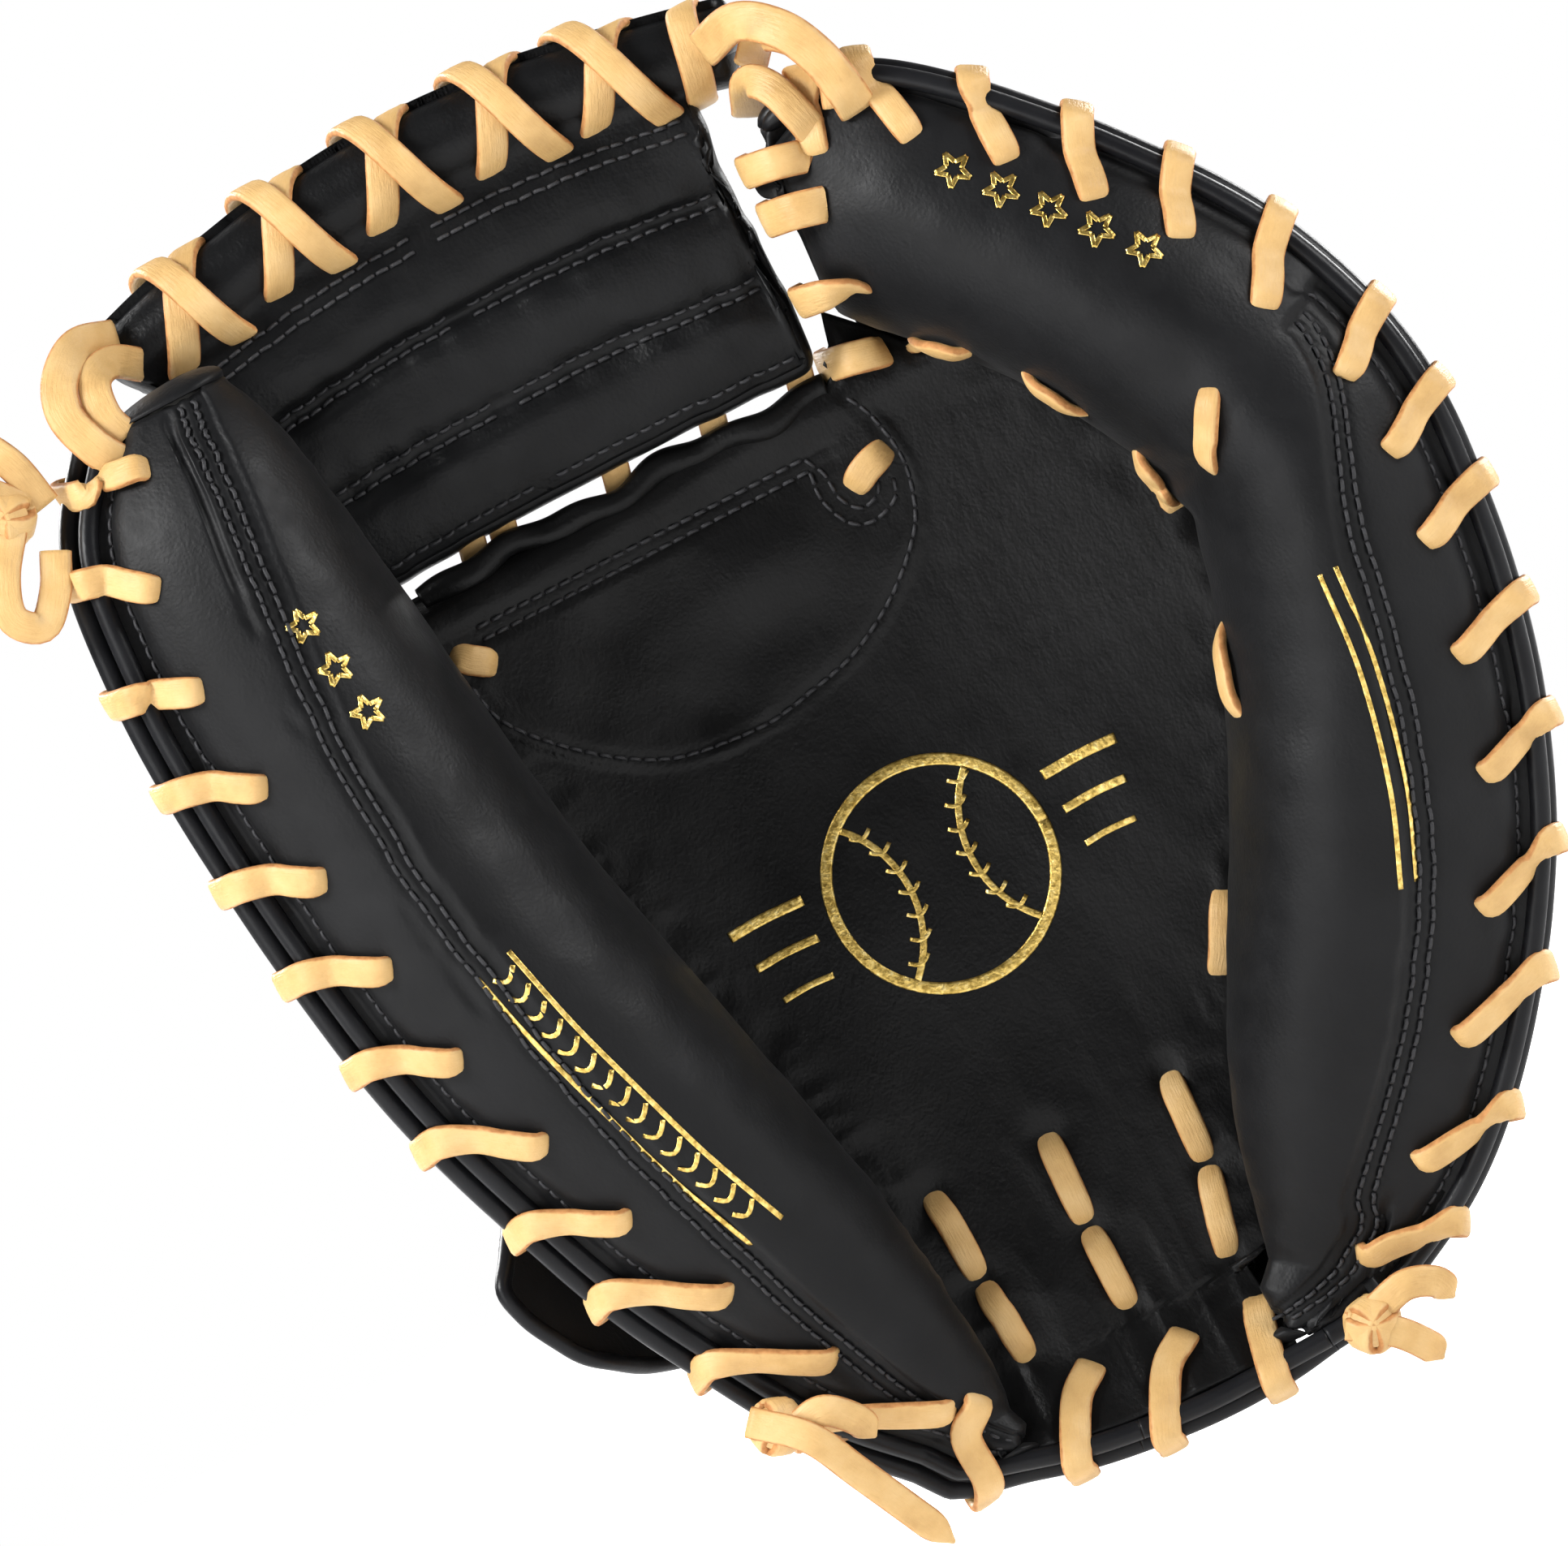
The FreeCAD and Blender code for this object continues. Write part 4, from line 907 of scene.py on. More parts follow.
def palm_layout(rows=210, cols=140):
    """x and z of the palm skin's grid, its rise from crotch to heel, and its distance from the rolls."""
    left, right = border(THUMB.front, 0), border(FINGER.front, 0)
    heel = bead_path("heel_front_welt", (5, 0), 1, 120)[::-1] / MM
    rise = np.linspace(0, 1, rows)[:, None]
    low = np.clip((rise - 0.9) / 0.1, 0, 1)
    z = np.where(rise < 0.9, CROTCH_TOP - (CROTCH_TOP - APRON_TOP) * rise / 0.9, APRON_TOP)
    a = np.where(low > 0, -17 - 8 * low, left(z) + 0.5)
    b = np.where(low > 0, 31 + 1 * low, right(z) + 0.5)
    X = a + (b - a) * np.linspace(0, 1, cols)[None]
    heel_z = np.interp(X, heel[:, 0], heel[:, 2]) + 2.4
    Z = np.where(low > 0, APRON_TOP + low * (heel_z - APRON_TOP), z + 0 * X)
    corner = np.interp(X, (36.8, 39.0, 41.5, 46.0, 52.0), (0.0, 2.0, 12.0, 7.5, 0.5))
    return X, Z + corner * np.clip(1 - rise / 0.16, 0, 1) ** 1.5, rise, np.minimum(X - a, b - X)


def palm_wrinkles(flat, X, Z, patch, side):
    """Height of the patch, its stitch lines, and the creases of the palm leather."""
    inside = step_up(patch, -0.5, 0.9)
    lift = 0.9 * inside - 0.5 * bump(patch, 1.8, 0.8)
    lift = lift + inside * (1.6 * value_noise(flat * [1, 1, 1.3], 21, 11) + 0.6 * value_noise(flat, 10, 12))
    for row in CROTCH_ROWS:
        lift = lift - 0.55 * bump(Z, row, 0.8) * step_up(35 - X, 0, 4)
    lift = lift + 0.7 * bump(Z, 60, 3.0)
    near_heel = step_up(-Z, 30, 100)
    lift = lift - near_heel * 1.1 * np.abs(value_noise(flat * [1, 1, 0.16], 9, 13)) ** 0.8
    lift = lift - near_heel * 0.5 * np.abs(value_noise(flat * [1, 1, 0.25], 4.5, 14))
    middle = step_up(-Z, -30, 10)
    lift = lift + middle * (1.2 * value_noise(flat, 34, 15) + 0.5 * value_noise(flat * [1, 1, 0.5], 12, 16))
    return lift - 0.9 * np.abs(value_noise(flat * [1, 1, 1.4], 7, 17)) * (1 - step_up(side, 1, 15))


def build_palm():
    X, Z, rise, side = palm_layout()
    rows = len(X)
    grid = heights(["palm_leather", "finger_palm_leather", "heel_leather"], X, Z, rounds=6)
    seam = slice(int(0.84 * rows), int(0.97 * rows))
    grid[seam, :, 1] = smooth(smooth(grid[seam, :, 1], 60, 0), 10, 1)
    grid[..., 1] += 2.2 * MM * (1 - step_up(rise, 0.0, 0.035)) ** 2
    patch = inside_distance(X, Z, PATCH_EDGE)
    lift = palm_wrinkles(grid * [1, 0, 1], X, Z, patch, side)
    pinned = pins(bump(side, 0, 5), bump(patch, 1.5, 2.2), step_up(Z, 49, 52), step_up(-Z, 104, 112))
    lift = lift + puff(grid, PALM_SIDE, pinned, 1.4)
    for x, z in (hole for line in HEEL_LACES for hole in line):
        lift = lift - 1.1 * np.exp(-((X - x) ** 2 + (Z - z) ** 2) / 3.2**2)
    skin = grid + grid_normals(grid, PALM_SIDE) * (lift * MM)[..., None]
    return finish(sheet_object("palm_skin", skin, 1.6, PALM_LEATHER, PALM_SIDE), FINGER_FOLD, "palm_leather",
                  "palm_leather", "finger_palm_leather", "heel_leather", "palm_patch")


def crotch_edge(face):
    """Wavy turned edge of the palm leather at the crotch."""
    x = np.linspace(-43, 36.5, 150)
    base = np.array([face.at(v, CROTCH_TOP - 2.5)[0] for v in x])
    rise = 2.2 + 0.8 * np.sin(x / 5.2) + 0.5 * np.sin(x / 2.3)
    path = base + np.stack([0 * x, 1.6 + 0.6 * np.sin(x / 4.1), rise], 1) * MM
    roll = cord_parts(smooth(path, 2), 2.5 + 0.3 * np.sin(x / 3.3), 20)
    finish(merge_rings("crotch_edge", [roll], PALM_LEATHER), "palm", "palm_leather", "crotch_roll")


def palm_stitches(face):
    lines = [[(x * 0.965, 60 + (z - 60) * 0.965) for x, z in PATCH_EDGE]]
    lines += [[(-37, row), (0, row), (27, row)] for row in CROTCH_ROWS]
    lines += [[(27, 55), (29, 51), (29.5, 46), (32, 42.8), (35.5, 43.5), (37, 46)],
              [(27, 52.6), (26.6, 47), (29, 41.5), (33, 39.8), (38, 41.5), (39.5, 45)]]
    parts = []
    for line in lines:
        parts += stitch_row(*face.path(line, 200, 0.05))
    finish(merge_rings("palm_stitches", parts, THREAD), FINGER_FOLD, "welt_leather")


def surface_lace(face, points, width=5.2, arch=1.3, dip=1.2):
    """Lace lying on a surface between two holes that it dips into."""
    P, N = face.path(points, 26)
    t = np.linspace(-1, 1, len(P))
    rise = (arch + dip) * (1 - np.abs(t) ** 3.2) - dip
    return ribbon_parts(P + N * (rise * MM)[:, None], N, width * (1 - 0.28 * np.abs(t) ** 4), LACE_THICK)


def heel_laces(face):
    stands_for = ((), ("palm_lace",), ("finger_palm_lace",))
    for number, ((top, middle, low), nodes) in enumerate(zip(HEEL_LACES, stands_for)):
        parts = [surface_lace(face, [top, (middle[0], middle[1] + 0.6)], 5.0),
                 surface_lace(face, [(middle[0], middle[1] - 0.6), low], 5.0)]
        finish(merge_rings(f"palm_lace_{number + 1}", parts, LACE), FINGER_FOLD, "lace_rawhide", *nodes)


PALM = build_palm()
PALM_FACE = Facing([PALM])
crotch_edge(PALM_FACE)
palm_stitches(PALM_FACE)
heel_laces(PALM_FACE)


# ---- web ----
WEB_SEAMS = (1 / 3, 2 / 3)  # stitched valleys as shares of the web's height; a third lies at the top
WEB_HEIGHT = 48.0
WEB_ROWS, WEB_COLS = 100, 150
WEB_PATH = bead_path("web_top_roll", (-8, 0), 1, 160)
WEB_RISE = np.linspace(0, 1, WEB_ROWS)[:, None]


def web_face(name, from_back):
    probe = Facing(cad(name), from_back)
    low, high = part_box(name)
    left, right = low[0] / MM + 0.3, high[0] / MM - 0.3
    columns = []
    for x in left + (right - left) * np.linspace(0, 1, 60):
        hits = [z for z in np.arange(62, 126, 0.4) if probe.at(x, z) is not None]
        if len(hits) > 30:
            columns.append((x, hits[0] + 0.2, hits[-1] - 0.2))
    columns = np.array(columns)
    reach = np.maximum(right - 14.5 * (1 - step_up(WEB_RISE, 0.58, 1.0)), 36.0)
    X = left + (np.minimum(reach, columns[:, 0].max()) - left) * np.linspace(0, 1, WEB_COLS)[None]
    ends = columns_at(X, columns[:, 0], columns[:, 1:])
    Z = ends[..., 0] * (1 - WEB_RISE) + ends[..., 1] * WEB_RISE
    return heights([name], X, Z, from_back, rounds=2)


def web_skin(grid, outward, cap):
    up = WEB_RISE * WEB_HEIGHT + 0 * grid[..., 0]
    seams = [up - seam * WEB_HEIGHT for seam in WEB_SEAMS]
    valley, close = (sum(bump(gap, 0, width) for gap in seams) for width in (2.0, 6.0))
    flat = grid * [1, 0, 1]
    lift = 0.36 * value_noise(flat * [1, 1, 0.35], 3.6, 21) * close - valley
    lift = lift + 0.9 * value_noise(flat * [1, 1, 1.5], 20, 22) + 0.25 * value_noise(flat, 7, 23)
    pinned = pins(valley, bump(up, 0, 3), bump(WEB_HEIGHT - up, 0, 3))
    pinned[:, :3] = pinned[:, -3:] = 1
    lift = lift + puff(grid, outward, pinned, cap)
    return grid + grid_normals(grid, outward) * (lift * MM)[..., None]


def wrap_roll(grid, start, stop=90, rows=30):
    """Carries a face of the web up round the top roll, to meet the other face on top of it."""
    x = WEB_PATH[:, 0]
    top = grid[-1]
    share = (top[:, 0] - top[0, 0]) / (top[-1, 0] - top[0, 0])
    wide = x[0] + share * (x[-1] - x[0])
    more = []
    for t in np.linspace(0, 1, rows):
        q = math.radians(start + (stop - start) * t)
        way = np.array([0, -math.cos(q), math.sin(q)])
        place = top[:, 0] + (wide - top[:, 0]) * min(1.0, t * 2.2)
        ring = columns_at(place, x, WEB_PATH) + way * 7.5 * MM
        ring[:, 0] = place
        more.append(ring + (value_noise(ring, 13, 28) * 0.35 * MM)[:, None] * way)
    joined = np.concatenate([grid, more])
    for _ in range(3):
        joined[95:108] = smooth(joined[94:109], 1)[1:-1]
    return joined


def web_edge(front, back, side):
    """Rounded leather edge that joins the faces of one half of the web, round its outer side."""
    def rim(g):
        g = g[:, ::-1] if side == "left" else g
        return smooth(resample(np.vstack([g[0], g[1:, -1], g[-1, -2::-1]]), 300), 8)

    F, B = rim(front), rim(back)
    middle = (F + B) / 2
    out = unit(smooth(unit(np.cross(np.gradient(middle, axis=0), [0, 1, 0])), 6))
    if np.mean(np.sum(out * (middle - middle.mean(0)), axis=1)) < 0:
        out = -out
    rings = np.array([middle + (F - B) / 2 * math.cos(q) + out * math.sin(q) * 1.6 * MM
                      for q in np.linspace(0, math.pi, 9)])
    obj = mesh_object("web_edge_" + side, rings.reshape(-1, 3), quads(*rings.shape[:2]), WEB_LEATHER,
                      rings.reshape(-1, 3)[:, ::2])
    fix_normals(obj)
    return obj


def whip(x_from, x_to, radius, width=LACE_WIDTH, start=-118, end=215):
    """Part turn of lace round the top roll, sliding along it."""
    q = np.radians(np.linspace(start, end, 40))
    x = (x_from + (x_to - x_from) * np.clip((q + 1.2) / 3.2, 0, 1)) * MM
    way = np.stack([0 * q, -np.cos(q), np.sin(q)], axis=1)
    path = smooth(columns_at(x, WEB_PATH[:, 0], WEB_PATH) + way * radius * MM, 1)
    return ribbon_parts(path, way, width, LACE_THICK)


def web_rows(grid, way):
    """Stitch rows on one face of the web, or of half of it."""
    N = grid_normals(grid, way)
    parts = []
    for share in (0.045, 1 / 3 - 0.024, 1 / 3 + 0.024, 2 / 3 - 0.024, 2 / 3 + 0.024, 0.93, 0.978):
        row = int(round(share * (WEB_ROWS - 1)))
        line, normal = resample(grid[row, 3:-3], 110), resample(N[row, 3:-3], 110)
        parts += stitch_row(line + normal * 0.05 * MM, normal)
    return parts


def build_web():
    """Quilted web in two halves, each given its own roll's fold place."""
    front, back = web_face("web_front_panel", False), web_face("web_back_panel", True)
    felt = (front * 0.6 + back * 0.4)[4:-4]
    front = wrap_roll(web_skin(front, PALM_SIDE, 1.5), -62)
    back = wrap_roll(web_skin(back, BACK_SIDE, 1.5), 242)
    half = WEB_COLS // 2
    for side, cut, inner in (("left", slice(0, half + 1), slice(5, half + 1)),
                             ("right", slice(half, WEB_COLS), slice(half, WEB_COLS - 5))):
        stitches = web_rows(front[:, cut], PALM_SIDE) + web_rows(back[:, cut], BACK_SIDE)
        pieces = ((sheet_object("web_core_" + side, felt, 1.6, FELT, PALM_SIDE, inner), "felt", "web_core"),
                  (sheet_object("web_front_" + side, front, 1.2, WEB_LEATHER, PALM_SIDE, cut), "web_leather",
                   "web_front_panel"),
                  (sheet_object("web_back_" + side, back, 1.2, WEB_LEATHER, BACK_SIDE, cut), "web_leather",
                   "web_back_panel"),
                  (web_edge(front[:, cut], back[:, cut], side), "web_leather"),
                  (merge_rings("web_stitches_" + side, stitches, THREAD), "welt_leather"))
        for obj, slot, *nodes in pieces:
            finish(obj, WEB_FOLDS[side], slot, *(nodes if side == "left" else ()))


def build_web_roll():
    middle = int(np.abs(WEB_PATH[:, 0] + 0.0125).argmin())
    count = len(WEB_PATH)
    spacing = np.median(np.diff(path_length(WEB_PATH))) / MM
    ends = np.minimum(np.arange(count), np.arange(count)[::-1]) * spacing
    radius = (6.9 + 0.15 * value_noise(WEB_PATH, 11, 27)) * np.sqrt(
        np.clip(1 - (1 - np.clip(ends / 3.0, 0, 1)) ** 2, 0.02, 1))
    line = WEB_PATH + noise_vectors(WEB_PATH, 17, 24) * 0.3 * MM
    whips = {"left": [], "right": []}
    for x in (-55, -34, -13, 8, 28):
        sway = RNG.uniform(-1.0, 1.0, 3)
        side = "left" if x < -12 else "right"
        whips[side] += [whip(x - 7 + sway[0], x + 6, 8.6, LACE_WIDTH + 0.3 * sway[1]),
                        whip(x + 6, x - 6 + sway[2], 8.6 + 1.9)]
    whips["right"].append(whip(40, 45, 8.6))
    for side, cut, nodes in (("left", slice(0, middle + 1), ("web_top_roll", "web_top_lace")),
                             ("right", slice(middle, None), ())):
        roll = merge_rings("web_top_" + side, [cord_parts(line[cut], radius[cut], 36)], WEB_LEATHER)
        finish(roll, WEB_FOLDS[side], "web_leather", *nodes[:1])
        whipping = merge_rings("web_whips_" + side, whips[side], LACE)
        finish(whipping, WEB_FOLDS[side], "lace_rawhide", *nodes[1:])


build_web()
build_web_roll()


# ---- rim lace ----
def loop_ribbon(points, normals, count, width):
    """Lace along a smooth path through points, its broad face turned by their normals."""
    path = spline(points, count)
    old, new = path_length(np.array(points)), path_length(path)
    return ribbon_parts(path, columns_at(new / new[-1], old / old[-1], normals), width, LACE_THICK)


def nearest_station(roll, point):
    return int(np.argmin(np.linalg.norm(roll.beads[0] - point, axis=1)))


def rim_loop(roll, solid):
    """Lace turn from its hole in the front skin, over both beads, into the back."""
    stations = [nearest_station(roll, p) for p in solid]
    inward = np.array([np.dot(p - roll.beads[0][u], roll.inward[u]) for p, u in zip(solid, stations)])
    u_hole = nearest_station(roll, solid[inward.argsort()[-8:]].mean(axis=0))
    u_rim = nearest_station(roll, solid[inward.argsort()[:10]].mean(axis=0))
    found = []
    for share, lift in ((0.0, -1.6), (0.1, 0.7), (0.42, 1.2), (0.78, 1.5)):
        p, n = roll.at(u_hole + (u_rim - u_hole) * share, 10.0 * (1 - share))
        found.append((p + n * lift * MM, n))
    a, b = roll.beads[0][u_rim], roll.beads[1][u_rim]
    out, up = -roll.inward[u_rim], np.array([0, -1.0, 0])
    for centre, radius, way in ((a, 1.8, out * 0.75 + up), ((a + b) / 2, 2.1, out + up * 0.12),
                                (b, 2.0, out - up * 0.8)):
        found.append((centre + unit(way) * (radius + 1.3) * MM, unit(way)))
    for distance, lift in ((5.0, 1.2), (8.5, 1.0), (10.5, -1.2)):
        p, n = roll.at(u_rim, distance, roll.back)
        found.append((p + n * lift * MM, n))
    width = LACE_WIDTH * (1 - 0.2 * bump(np.arange(46), 0, 2.5)) * RNG.uniform(0.95, 1.04)
    return loop_ribbon(*zip(*found), 46, width)


for lace_roll in (THUMB, FINGER):
    turns = [rim_loop(lace_roll, solid) for solid in islands(lace_roll.name + "_rim_lace")]
    finish(merge_rings(lace_roll.name + "_rim_loops", turns, LACE), lace_roll.body, "lace_rawhide",
           lace_roll.name + "_rim_lace")


# ---- heel: beads and laces between the two rolls ----
def split_cord(name, path, radius, folds, *nodes):
    """Cord in two halves, each given its own fold place."""
    for side, fold, cut in zip(("left", "right"), folds, (slice(0, 71), slice(70, None))):
        obj = merge_rings(f"{name}_{side}", [cord_parts(path[cut], radius)], WELT_LEATHER)
        finish(obj, fold, "welt_leather", *(nodes if side == "left" else ()))


def heel_bead(number, part):
    line = bead_path(f"heel_{part}_welt", (5, 0), 1, 60)[::-1]
    ends = THUMB.beads[number][-1], FINGER.beads[number][-1]
    path = spline([ends[0], line[4], line[20], line[40], line[56], ends[1]], 160)
    split_cord(f"heel_{part}_bead", path, BEAD_RADII[number], (HEEL_FOLD, FINGER_FOLD), f"heel_{part}_welt")
    return path


def heel_loop(face, front, back, x, lean):
    """Turn of lace from its hole in the apron over the heel's beads."""
    a, b = (line[np.abs(line[:, 0] - x * MM).argmin()] for line in (front, back))
    up, down = np.array([0, -1.0, 0]), np.array([0, 0, -1.0])
    found = []
    for share, lift in ((1.0, -1.6), (0.88, 0.7), (0.45, 1.3)):
        p, n = face.place(x + lean * share, a[2] / MM + 2.6 + 9.0 * share)
        found.append((p + n * lift * MM, n))
    for centre, radius, way in ((a, 1.8, down * 0.6 + up), ((a + b) / 2, 2.2, down + up * 0.1),
                                (b, 2.0, down - up)):
        found.append((centre + unit(way) * (radius + 1.3) * MM, unit(way)))
    found.append((b + np.array([0, 6, 6]) * MM, unit(down - up)))
    return loop_ribbon(*zip(*found), 40, LACE_WIDTH)


def build_heel_laces(front, back):
    face = Facing([PALM, piece("thumb_front_skin"), piece("finger_front_skin")])
    for number, (x, lean) in enumerate(((-30, 9), (-11, 10), (5, 11), (26, 4))):
        obj = merge_rings(f"heel_rim_loop_{number + 1}", [heel_loop(face, front, back, x, lean)], LACE)
        finish(obj, HEEL_FOLD if x < 0 else FINGER_FOLD, "lace_rawhide")
    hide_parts("heel_rim_lace")


HEEL_FRONT, HEEL_BACK = heel_bead(0, "front"), heel_bead(1, "back")
build_heel_laces(HEEL_FRONT, HEEL_BACK)


# ---- loose laces and knots ----
def free_lace(points, normal=PALM_SIDE, width=LACE_WIDTH, count=30, pointed=False):
    """Lace through x, z, height points; pointed gives it a cut tip."""
    path = spline([level(*p) for p in points], count)
    normals = np.array([normal] * count, float) if np.ndim(normal) == 1 else resample(normal, count)
    taper = np.ones(count)
    if pointed:
        taper[-5:] = (0.95, 0.85, 0.65, 0.4, 0.15)
    return ribbon_parts(path, normals, width * taper, LACE_THICK)


def tie(centre, size, tilt):
    """Overhand knot: three crossed turns of lace."""
    parts = []
    for k in range(3):
        turn = math.radians(tilt + 60 * k)
        a = np.array([math.cos(turn), 0, math.sin(turn)])
        b = unit(np.cross(a, [0, 1, 0]) * 0.55 + np.array([0, -0.85, 0]) * (1 if k != 1 else -1))
        q = np.linspace(0.2, 2 * math.pi - 0.2, 26)
        ring = a * np.cos(q)[:, None] * size * MM + b * np.sin(q)[:, None] * size * 0.75 * MM
        parts.append(ribbon_parts(level(*centre) + ring, ring, LACE_WIDTH * 0.9, LACE_THICK))
    return parts


def lace_group(name, parts, place, *nodes):
    finish(merge_rings(name, parts, LACE), place, "lace_rawhide", *nodes)


def web_side_loop(face, z, x, low):
    """Loop over the finger roll's edge beside the web."""
    p, n = face.place(x + 6, z)
    top = -p[1] / MM
    return free_lace([(x + 8, z - 1, top - 1.5), (x + 6, z - 0.5, top + 1.3), (x + 1.5, z + 0.6, top + 1.6),
                      (x - 2.4, z + 1.4, top - 3), (x - 3.0, z + 1.8, top - 8.4), (x - 1.5, z + 2, top - 14)],
                     [n, n, unit(n + [-0.6, 0, 0]), (-1, 0, 0), (-1, 0, 0), (-1, 0.2, 0)], low)


def build_ties():
    finger = Facing([piece("finger_front_skin"), PALM])
    loops = [web_side_loop(finger, z, x, w) for z, x, w in
             ((101, 43.5, 6.0), (92, 43, 6.5), (77, 41.5, 6.0), (66, 40.5, 6.0))]
    for width, points in (
            (7.0, [(44, 125, 66), (51, 126, 76), (57, 121, 82), (60.5, 114, 83), (62, 107, 83),
                   (62.5, 103, 79.5)]),
            (6.0, [(50, 119, 62), (54, 122, 74), (59, 117.5, 80), (61.5, 111, 82.5), (60, 105, 80)]),
            (6.0, [(46, 112, 60), (48, 116, 73), (51, 113, 78.5), (53, 107, 79), (54, 103, 76.5)])):
        loops.append(free_lace(points, width=width, count=40))
    lace_group("web_finger_loops", loops, "fingers", "web_finger_lace")
    thumb = [free_lace([(-69, 128, 62), (-75, 129, 72), (-80, 125, 78), (-82, 119, 80), (-80, 112, 81),
                        (-77, 107, 80)], width=6.5, count=40),
             free_lace([(-66, 121, 60), (-71, 124, 70), (-75, 122, 77), (-76, 116, 79.5), (-74.5, 111, 79)],
                       width=6.0, count=40)]
    lace_group("web_thumb_loops", thumb, "thumb", "web_thumb_lace")
    bow = tie((-99, 108, 83), 4.4, 20)
    bow += [free_lace([(-95, 108, 83), (-101, 115, 87), (-104, 121, 86), (-99, 123, 84), (-94, 116, 85),
                       (-92, 107, 82)], width=5.6, count=44),
            free_lace([(-98, 107, 84), (-103.5, 99, 88), (-105.5, 92, 89), (-101.5, 88.5, 88), (-97, 93, 86),
                       (-94, 99, 84)], width=5.6, count=44)]
    lace_group("thumb_tip_bow", bow, "thumb", "thumb_tip_knot")
    heel = tie((-54, -91, 68), 4.2, 10)
    heel += [free_lace([(-58, -88, 70), (-50, -95, 73), (-45, -105, 68), (-36.5, -123, 57)], pointed=True,
                       count=40),
             free_lace([(-52, -93, 70), (-46, -92, 71.5), (-41.5, -96, 69), (-40, -100, 66)], pointed=True)]
    lace_group("heel_thumb_tie", heel, "thumb", "heel_thumb_knot")
    right = tie((45, -123, 61), 4.2, 40)
    right += [free_lace([(41, -121, 62), (48, -126, 63), (52, -131, 60), (53, -133.5, 57)], pointed=True),
              free_lace([(47, -121, 62), (53, -119.5, 64), (58, -121.5, 62), (59.5, -125, 59)], pointed=True)]
    lace_group("heel_finger_tie", right, "fingers", "heel_finger_knot")


def build_crease_laces():
    """Short stitches of lace that show between the finger roll's lip and the palm, and at the crotch."""
    face = Facing([piece("finger_front_skin"), PALM])
    spots = (((53, 64), (60.5, 57)), ((66.5, 50), (73, 38.5)), ((77.5, 29.5), (80.5, 17)),
             ((93, 33), (86.5, 20)), ((77, -3.5), (72, -19.5)), ((57, -45), (49.5, -58)))
    lace_group("crease_laces", [surface_lace(face, [a, ((a[0] + b[0]) / 2 + 0.6, (a[1] + b[1]) / 2 + 0.4), b],
                                             4.6, 1.5, 1.6) for a, b in spots], "fingers")
    corner = Facing([PALM])
    lace_group("crotch_corner_laces", [
        surface_lace(corner, [(-43, 52), (-40.5, 50.5), (-37, 48)], 5.4, 1.7, 1.0),
        surface_lace(corner, [(32.5, 46.5), (36, 48.5), (40.5, 50)], 5.6, 1.8, 1.0)], FINGER_FOLD)
    parts = []
    for x in (-31, -25, -3, 16, 33):
        h = -corner.place(x, 63)[0][1] / MM
        parts.append(free_lace([(x - 1.5, 60.5, h - 3.5), (x - 0.5, 65.5, h - 3.6), (x + 1, 72, h + 1.0)],
                               width=5.2))
    lace_group("crotch_laces", parts, "palm", "crotch_lace")


build_ties()
build_crease_laces()


# ---- back of the hand ----
STRETCHES = (THUMB_STRETCH, FINGER_STRETCH)  # each half of the back is given its own roll's stretch place; nothing here stretches it
ROW_SPACING = 1.1


def back_grid(low_z, high_z, nodes, wrinkle, stitch_rows, cols=68):
    """Outer face of the leather across the back, from one roll to the other."""
    low, high = low_z(0), high_z(0)
    rise = np.linspace(0, 1, int((high - low) / ROW_SPACING))[:, None]
    guess = low + (high - low) * rise
    a, b = border(THUMB.back, 0)(guess) - 1.5, border(FINGER.back, 0)(guess) + 1.5
    X = a + (b - a) * np.linspace(0, 1, cols)[None]
    Z = low_z(X) * (1 - rise) + high_z(X) * rise
    grid = heights(nodes, X, Z, True, rounds=4)
    for side, roll in ((X - a, THUMB), (b - X, FINGER)):
        w = step_up(side, 0, 13)
        grid[..., 1] = (border(roll.back, 1)(Z) - 1.6 * MM) * (1 - w) + grid[..., 1] * w
    grid[..., 1] = np.minimum(grid[..., 1], -0.05 * MM)
    up = (high - low) * rise + 0 * X
    flat = grid * [1, 0, 1]
    lift = 0.5 - wrinkle * np.abs(value_noise(flat * [0.5, 1, 1], 10, 31))
    lift = lift - 0.2 * np.abs(value_noise(flat, 5, 32))
    for row in stitch_rows:
        lift = lift - 0.35 * bump(np.minimum(up, up.max() - up), row, 0.9)
    seam = np.abs(np.arange(cols) - cols // 2)[None]
    grid[..., 1] += (lift - 0.8 * (seam == 0) - 0.25 * (seam == 2)) * MM
    return grid


def back_sheet(name, low_z, high_z, nodes, slot, wrinkle=0.5, stitch_rows=(3.0,)):
    """Leather across the back in two halves, with stitches along its edges and its middle seam."""
    grid = back_grid(low_z, high_z, nodes, wrinkle, stitch_rows)
    half, last = grid.shape[1] // 2, len(grid) - 1
    for part, fold, cut, seam in (("left", THUMB_STRETCH, slice(0, half + 1), half - 2),
                                  ("right", FINGER_STRETCH, slice(half, None), half + 2)):
        sheet = sheet_object(f"{name}_{part}", grid[:, cut], 1.6, BACK_LEATHER, BACK_SIDE)
        finish(sheet, fold, slot, *(nodes if part == "left" else ()))
        rows = [int(row / ROW_SPACING) for row in stitch_rows]
        parts = []
        for line in [grid[k, cut] for row in rows for k in (row, last - row)] + [grid[4:-4, seam]]:
            parts += stitch_row(resample(line, 90) + level(0, 0, -0.05), np.repeat([BACK_SIDE], 90, 0))
        finish(merge_rings(f"{name}_{part}_stitches", parts, THREAD), fold, "welt_leather")
    return grid


def back_cord(name, line, radius, *nodes):
    split_cord(name, resample(line, 140), radius, STRETCHES, *nodes)


